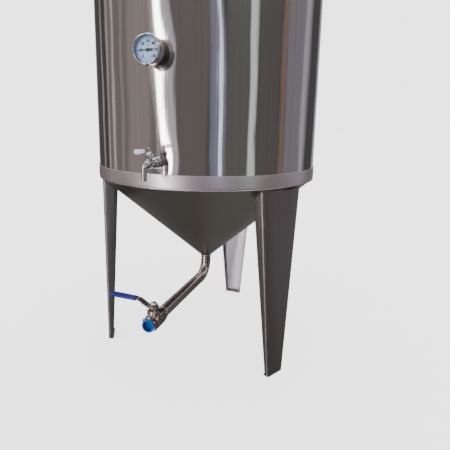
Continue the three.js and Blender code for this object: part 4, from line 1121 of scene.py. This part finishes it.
def make_needle(place):
    """Points left at rest, to 20 on the scale, with a broad counterweight tail."""
    half_plan = [(-22.0, 0.3), (-14, 0.9), (-4.0, 1.5), (-2.6, 2.0), (2.6, 2.0), (3.4, 1.8),
                 (5.0, 2.6), (10.6, 2.7), (11.2, 2.0)]
    bm = bmesh.new()
    plate(bm, half_plan + [(x, -w) for x, w in reversed(half_plan)], 1.3, 1.8, place)
    turn(bm, [(0, 1.0), (4.0, 1.0), (4.0, 2.3, 0.5), (1.2, 2.6, 0.3), (0, 2.6)], place, 40)
    finish_mesh("dial_pointer", bm, NEEDLE, "needle", ("thermometer_needle",))


# ------------------------------------------------------------------ lid, clamp and airlock

DOME_EDGE = 286.0
DOME_HEIGHT = 48.0
DOME_RADIUS = (DOME_EDGE ** 2 + DOME_HEIGHT ** 2) / (2 * DOME_HEIGHT)
HANDLE_X = 150.0
HANDLE_HALF = 55.0
HANDLE_HEIGHT = 38.0
HANDLE_ROD = 5.0
HANDLE_BEND = 16.0
SEAL_INNER = 296.0
SEAL_OUTER = 305.0
LEVER_LUG_X = 18.0
HOOK_LUG_X = -20.0
CLAMP_GAP = 9.0                   # half of the ring's opening
AIRLOCK_REACH = 120.0
CUP_FLOOR = 36.0                  # above the dome
CUP_HEIGHT = 62.0


def dome_height(reach, thickness=WALL):
    """Height of the dome's outside above the underside of the lid's flange."""
    return thickness + DOME_HEIGHT - DOME_RADIUS + math.sqrt(DOME_RADIUS ** 2 - reach ** 2)


def make_lid():
    place = up_frame(z=LID_Z)
    rise = [DOME_EDGE * (1 - i / 20) for i in range(21)]
    outline = [(r, dome_height(r, 0)) for r in reversed(rise)]
    outline += [(DOME_EDGE + 2, 0), (RIM_RADIUS, 0), (RIM_RADIUS, WALL, 0.8), (DOME_EDGE + 2, WALL)]
    outline += [(r, dome_height(r)) for r in rise]
    turned("lid_dome", outline, place, SHELL, "lid_assembly", ("lid",), 256)
    bottom, top = low("lid_gasket").z, high("lid_gasket").z
    seal = [(SEAL_INNER, bottom, 0.8), (SEAL_OUTER, bottom, 0.8), (SEAL_OUTER, top, 0.8),
            (SEAL_INNER, top, 0.8)]
    turned("lid_seal_ring", seal, up_frame(), SILICONE, "lid_assembly", ("lid_gasket",), 192)


def make_lid_handles():
    welds = bmesh.new()
    reach = math.hypot(HANDLE_X, HANDLE_HALF)
    foot = LID_Z + dome_height(reach)
    for side, x in (("left", -HANDLE_X), ("right", HANDLE_X)):
        corners = [Vector((x, AXIS_Y + y, foot + z)) for y, z in (
            (-HANDLE_HALF, -1.5), (-HANDLE_HALF, HANDLE_HEIGHT), (HANDLE_HALF, HANDLE_HEIGHT),
            (HANDLE_HALF, -1.5))]
        points = bent_points(corners, HANDLE_BEND, 2.0)
        bm = bmesh.new()
        sweep(bm, points, [ring_section(HANDLE_ROD, 28)] * len(points))
        finish_mesh(f"lid_bow_{side}", bm, BRIGHT, "lid_assembly", (f"lid_handle_{side}",), "satin_steel")
        for y in (-HANDLE_HALF, HANDLE_HALF):
            place = (up_frame(x, AXIS_Y + y, foot + 0.3) @ Matrix.Rotation(math.atan2(y, x), 4, "Z")
                     @ Matrix.Rotation(math.asin(reach / DOME_RADIUS), 4, "Y"))
            weld_bead(welds, place, 5.3, 0, 2.6, 72, seed=x + y, ripple=0.4)
    finish_mesh("lid_handle_welds", welds, WELD, "lid_assembly")


def make_clamp_ring():
    """The split clamp ring: a rounded channel, open at the front between the two lugs."""
    bottom = low("clamp_ring").z
    outer = high("clamp_ring").x
    outline = rounded([
        (301, bottom + 2.2), (301, bottom + 0.2, 0.5), (outer, bottom + 0.2, 2.6),
        (outer, bottom + 17.4, 2.6), (292, bottom + 17.4, 0.5), (292, bottom + 15.4),
        (outer - 2, bottom + 15.4, 1.2), (outer - 2, bottom + 2.2, 1.2),
    ])
    gap = math.asin(CLAMP_GAP / outer)
    bm = bmesh.new()
    rows = [[bm.verts.new(up_frame() @ around(angle, r, z)) for r, z in outline]
            for angle in stations(gap, 2 * math.pi - gap, (math.pi - gap) / 110)]
    for here, there in zip(rows, rows[1:]):
        bridge(bm, here, there)
    bm.faces.new(rows[0])
    bm.faces.new(rows[-1])
    finish_mesh("clamp_ring_channel", bm, TUBE, "lid_assembly", ("clamp_ring",))


def make_clamp_toggle():
    ring_y = AXIS_Y - high("clamp_ring").x
    centre = middle("clamp_link").z
    half_plan = [(7, 1.5), (7, -8), (4, -12)]
    plan = half_plan + [(-x, y) for x, y in reversed(half_plan)]
    bm = bmesh.new()
    for x in (LEVER_LUG_X, HOOK_LUG_X):
        plate(bm, plan, -5.9, 5.9, up_frame(x, ring_y, centre))
    soften(finish_mesh("clamp_lugs", bm, TUBE, "lid_assembly"), 0.6)
    peg = [(0, -9.8), (2.5, -9.8, 0.5), (2.5, 9.8, 0.5), (0, 9.8)]
    turned("clamp_peg", peg, up_frame(HOOK_LUG_X, ring_y - 7, centre), BRIGHT, "lid_assembly", (), 32)
    refined("clamp_lever_cheeks", "clamp_lever", TUBE, "clamp_lever_arm", 0.4)
    refined("clamp_link_hook", "clamp_link", TUBE, "clamp_link_arm", 0.4)
    for name, node in (("clamp_pivot_rivet", "clamp_lever_pin"), ("clamp_link_rivet", "clamp_link_pin")):
        reach = (high(node).z - low(node).z) / 2
        half = [(2.5, reach - 1.3), (3.6, reach - 1.1, 0.2), (3.6, reach - 0.2, 0.8), (0, reach)]
        rivet = [(radius, -z, *fillet) for radius, z, *fillet in reversed(half)] + half
        turned(name, rivet, up_frame(*middle(node)), BRIGHT, "clamp_lever_arm", (node,), 40)


def make_airlock():
    """Outlines stand on the dome (the grommet), the cup's floor, and the cup's rim (the cap)."""
    seat = LID_Z + dome_height(AIRLOCK_REACH)
    grommet = [
        (6.5, -8, 0.5), (17, -8, 1.2), (17, -5.5, 1.0), (13.5, -5.2, 0.8), (13.5, 2.2, 0.8),
        (17, 2.5, 1.0), (17, 6, 1.6), (6.5, 6, 0.8),
    ]
    turned("airlock_rubber_grommet", grommet, up_frame(0, AIRLOCK_Y, seat), SILICONE,
           "lid_assembly", ("airlock_grommet",), 72)
    floor = up_frame(0, AIRLOCK_Y, seat + CUP_FLOOR)
    body = [
        (4.5, -16 - CUP_FLOOR), (6.0, -16 - CUP_FLOOR, 0.4), (6.0, -4, 2.5), (12, 0, 2.0),
        (22.6, 1.0, 2.5), (23.6, 30), (24.6, CUP_HEIGHT - 2), (25.0, CUP_HEIGHT, 0.3),
        (23.5, CUP_HEIGHT, 0.3), (22.4, 30), (21.4, 3, 2.0), (6.2, 3, 0.8), (5.5, 38, 0.3),
        (4.2, 38, 0.3), (4.4, 2),
    ]
    turned("airlock_clear_cup", body, floor, CLEAR, "lid_assembly", ("airlock_body",), 96)
    water = [(6.6, 3.3), (21.2, 3.3), (21.7, 24, 0.2), (21.9, 24.4), (6.3, 24.2)]
    turned("airlock_water", water, floor, WATER, "lid_assembly", (), 72)
    top, bottom = high("airlock_float").z, low("airlock_float").z
    cup = [
        (0, top - 2.7), (7.3, top - 2.7, 1.5), (9.2, bottom, 0.3), (10.5, bottom, 0.3),
        (8.9, top - 0.8, 1.5), (0, top),
    ]
    turned("airlock_float_shell", cup, up_frame(0, AIRLOCK_Y), PALE, "airlock_float_cup",
           ("airlock_float",), 64)
    cap = [
        (0, 0.3), (25.5, 0.3), (25.6, -7), (26.8, -7, 0.4), (27, 1.6, 1.4), (22, 3.0, 1.0),
        (4, 4, 1.0), (0, 4),
    ]

    def gripped(angle, radius, along):
        on_skirt = radius > 26.2 and along < 1
        return radius - 0.175 * (1 + math.cos(48 * angle)) * on_skirt

    rim = up_frame(0, AIRLOCK_Y, seat + CUP_FLOOR + CUP_HEIGHT)
    turned("airlock_vented_cap", cap, rim, RED, "airlock_top", ("airlock_cap",), 192, gripped)


# ------------------------------------------------------------------ stage, light and camera

SENSOR = 36.0
FRAME_PIXELS = 450.0
FOCAL_PIXELS = 386.6
CAMERA_AZIMUTH = math.radians(21.6)
CAMERA_DISTANCE = 1126.0
CAMERA_ABOVE_CREASE = 146.7
CAMERA_PITCH = 0.180
CAMERA_YAW = 0.020
CAMERA_ROLL = 0.015
SHIFT_X = 0.0238
SHIFT_Y = -0.0718


def make_camera():
    camera = bpy.data.cameras.new("studio_camera")
    camera.sensor_width = SENSOR
    camera.lens = SENSOR * FOCAL_PIXELS / FRAME_PIXELS
    camera.shift_x = SHIFT_X
    camera.shift_y = SHIFT_Y
    camera.clip_end = 100
    place = Vector((CAMERA_DISTANCE * math.sin(CAMERA_AZIMUTH),
                    AXIS_Y - CAMERA_DISTANCE * math.cos(CAMERA_AZIMUTH),
                    CREASE_Z + CAMERA_ABOVE_CREASE))
    obj = add_object("studio_camera", camera)
    obj.matrix_world = (Matrix.Translation(place * MM)
                        @ Matrix.Rotation(CAMERA_AZIMUTH - CAMERA_YAW, 4, "Z")
                        @ Matrix.Rotation(math.pi / 2 - CAMERA_PITCH, 4, "X")
                        @ Matrix.Rotation(CAMERA_ROLL, 4, "Z"))
    bpy.context.scene.camera = obj


FLOOR_LIFT = 2.0                  # brightens the paper for the eye only


def make_floor():
    mesh = bpy.data.meshes.new("studio_floor")
    bm = bmesh.new()
    bmesh.ops.create_grid(bm, x_segments=2, y_segments=2, size=30)
    bm.to_mesh(mesh)
    bm.free()
    floor = add_object("studio_floor", mesh)
    s = Shader("studio_floor_paper", Roughness=0.9, Specular_IOR_Level=0.0,
               Base_Color=(0.86, 0.86, 0.86, 1), Emission_Color=(1, 1, 1, 1))
    rays = s.add("LightPath").outputs
    s.use("Emission Strength", s.maths("MULTIPLY", rays["Is Camera Ray"], FLOOR_LIFT))
    hidden = s.add("BsdfTransparent")
    mixer = s.add("MixShader", rays["Is Glossy Ray"], s.bsdf.outputs[0], hidden.outputs[0])
    s.feed(s.tree.nodes["Material Output"].inputs["Surface"], mixer.outputs[0])
    mesh.materials.append(s.material)


# The room as the metal sees it: tall soft lights and dark walls round the compass. Each entry is
# a bearing in degrees, anticlockwise from the front as seen from above, its half width, how soft
# its edge is, how far its upper end leans, its strength and its colour.
ROOM_LIGHTS = [
    (-21.7, 2.5, 0.7, 22, 15.0, (0.99, 0.96, 1.0)),
    (-15.3, 4.2, 1.6, 22, 0.6, (0.91, 0.9, 1.0)),
    (-27.4, 1.6, 1.5, 22, 0.3, (1.0, 0.86, 0.84)),
    (-62.5, 30.5, 3.0, 0, 0.15, (1.0, 0.87, 0.78)),
    (-48, 10.0, 6.0, 0, 0.12, (1.0, 0.88, 0.82)),
    (-70, 0.6, 0.8, 0, 0.2, (1.0, 0.9, 0.85)),
    (-84, 1.2, 0.9, 0, 0.55, (1.0, 0.86, 0.82)),
    (-95, 0.6, 0.8, 0, 0.55, (1.0, 0.84, 0.82)),
    (-108, 1.2, 1.2, 0, 0.35, (1.0, 0.86, 0.88)),
    (4, 17.0, 5.0, 0, 0.09, (1.0, 0.9, 0.82)),
    (32.2, 5.4, 0.8, 14, 0.27, (0.66, 0.68, 1.0)),
    (34.4, 0.7, 0.5, 14, 2.4, (0.78, 0.88, 1.0)),
    (49, 10.0, 3.0, 0, 0.07, (0.9, 1.0, 0.85)),
    (65.3, 3.2, 0.8, 0, 0.9, (0.86, 1.0, 0.96)),
    (82, 11.0, 4.0, 0, 0.04, (1.0, 0.98, 0.82)),
    (99, 1.2, 2.2, 0, 0.2, (1.0, 0.58, 0.42)),
    (122, 18.0, 3.0, 0, 0.2, (0.92, 0.84, 1.0)),
    (132, 3.0, 3.0, 0, 0.25, (0.9, 0.9, 1.0)),
    (178, 9.0, 6.0, 0, 0.4, (0.85, 0.9, 1.0)),
    (-140, 8.0, 5.0, 0, 0.3, (0.8, 0.86, 1.0)),
]
FLOOR_LIGHTS = [
    (-176, 9.0, 9.0, 0, 0.09, (1.0, 0.97, 0.93)),
    (-150, 14.0, 12.0, 0, 0.03, (1.0, 0.96, 0.9)),
    (-22, 8.0, 6.0, 0, 1.0, (0.93, 0.87, 1.0)),
]
FLOOR_GLOW = (0.05, 0.047, 0.042)
CEILING_TINT = (1.0, 0.94, 0.93)
ROOM_DARK = (0.085, 0.082, 0.084)
ROOM_PALE = (1.4, 1.4, 1.4)
BACKDROP = (3.1, 3.1, 3.1)


def make_room():
    world = bpy.data.worlds.new("studio_room")
    bpy.context.scene.world = world
    world.use_nodes = True
    w = Nodes(world.node_tree)
    w.tree.nodes.clear()
    ray = w.add("SeparateXYZ", w.add("TexCoord").outputs["Generated"]).outputs
    backwards = w.maths("MULTIPLY", ray["Y"], -1.0)
    bearing = w.maths("MULTIPLY", w.maths("ARCTAN2", ray["X"], backwards), 180 / math.pi)
    raised = w.maths("MAXIMUM", ray["Z"], 0.0)

    def step(value, start, end, top=1.0):
        """Rises smoothly from 0 to top as the value goes from start to end."""
        return w.spread(value, 0, top, start, end, interpolation_type="SMOOTHSTEP")

    def plus(*vectors):
        total = vectors[0]
        for vector in vectors[1:]:
            total = w.vector("ADD", total, vector)
        return total

    def scaled(vector, amount):
        return w.vector("SCALE", vector, Scale=amount)

    def light(centre, half_width, edge, lean, strength, colour):
        leaning = w.maths("MULTIPLY_ADD", raised, lean, bearing)
        turned_away = w.maths("WRAP", w.maths("SUBTRACT", leaning, centre), 180.0, -180.0)
        fade = step(w.maths("ABSOLUTE", turned_away), half_width + edge, half_width, strength)
        return scaled(colour, fade)

    walls = scaled(plus(*[light(*entry) for entry in ROOM_LIGHTS]), step(ray["Z"], -0.75, -0.12))
    ground = scaled(plus(*[light(*entry) for entry in FLOOR_LIGHTS], FLOOR_GLOW),
                    step(ray["Z"], -0.16, -0.5))
    panel = w.maths("MULTIPLY", step(ray["Z"], 0.4, 0.46, 1.8), step(ray["Z"], 0.66, 0.56))
    zenith = step(ray["Z"], 0.75, 0.95, 0.6)
    surround = plus(walls, ground, ROOM_DARK, scaled(CEILING_TINT, panel), zenith)
    seen_by = w.add("LightPath").outputs
    pale = w.add("Mix", data_type="VECTOR", Factor=seen_by["Is Camera Ray"], A=ROOM_PALE, B=BACKDROP)
    seen = w.add("Background", pale.outputs["Result"])
    reflected = w.add("Background", surround)
    mixer = w.add("MixShader", seen_by["Is Glossy Ray"], seen.outputs[0], reflected.outputs[0])
    w.add("OutputWorld", mixer.outputs[0])


# ------------------------------------------------------------------ assembly

dress_cad_nodes()
make_camera()
make_floor()
make_room()
make_shell()
make_band()
make_cone()
make_tank_welds()
make_legs()
make_drain_tube()
make_valve_tail()
make_valve_body()
make_stem_stack()
make_lever()
make_sleeve()
make_thread_cap()
make_tap()
make_tap_handle()
make_thermometer()
make_lid()
make_lid_handles()
make_clamp_ring()
make_clamp_toggle()
make_airlock()
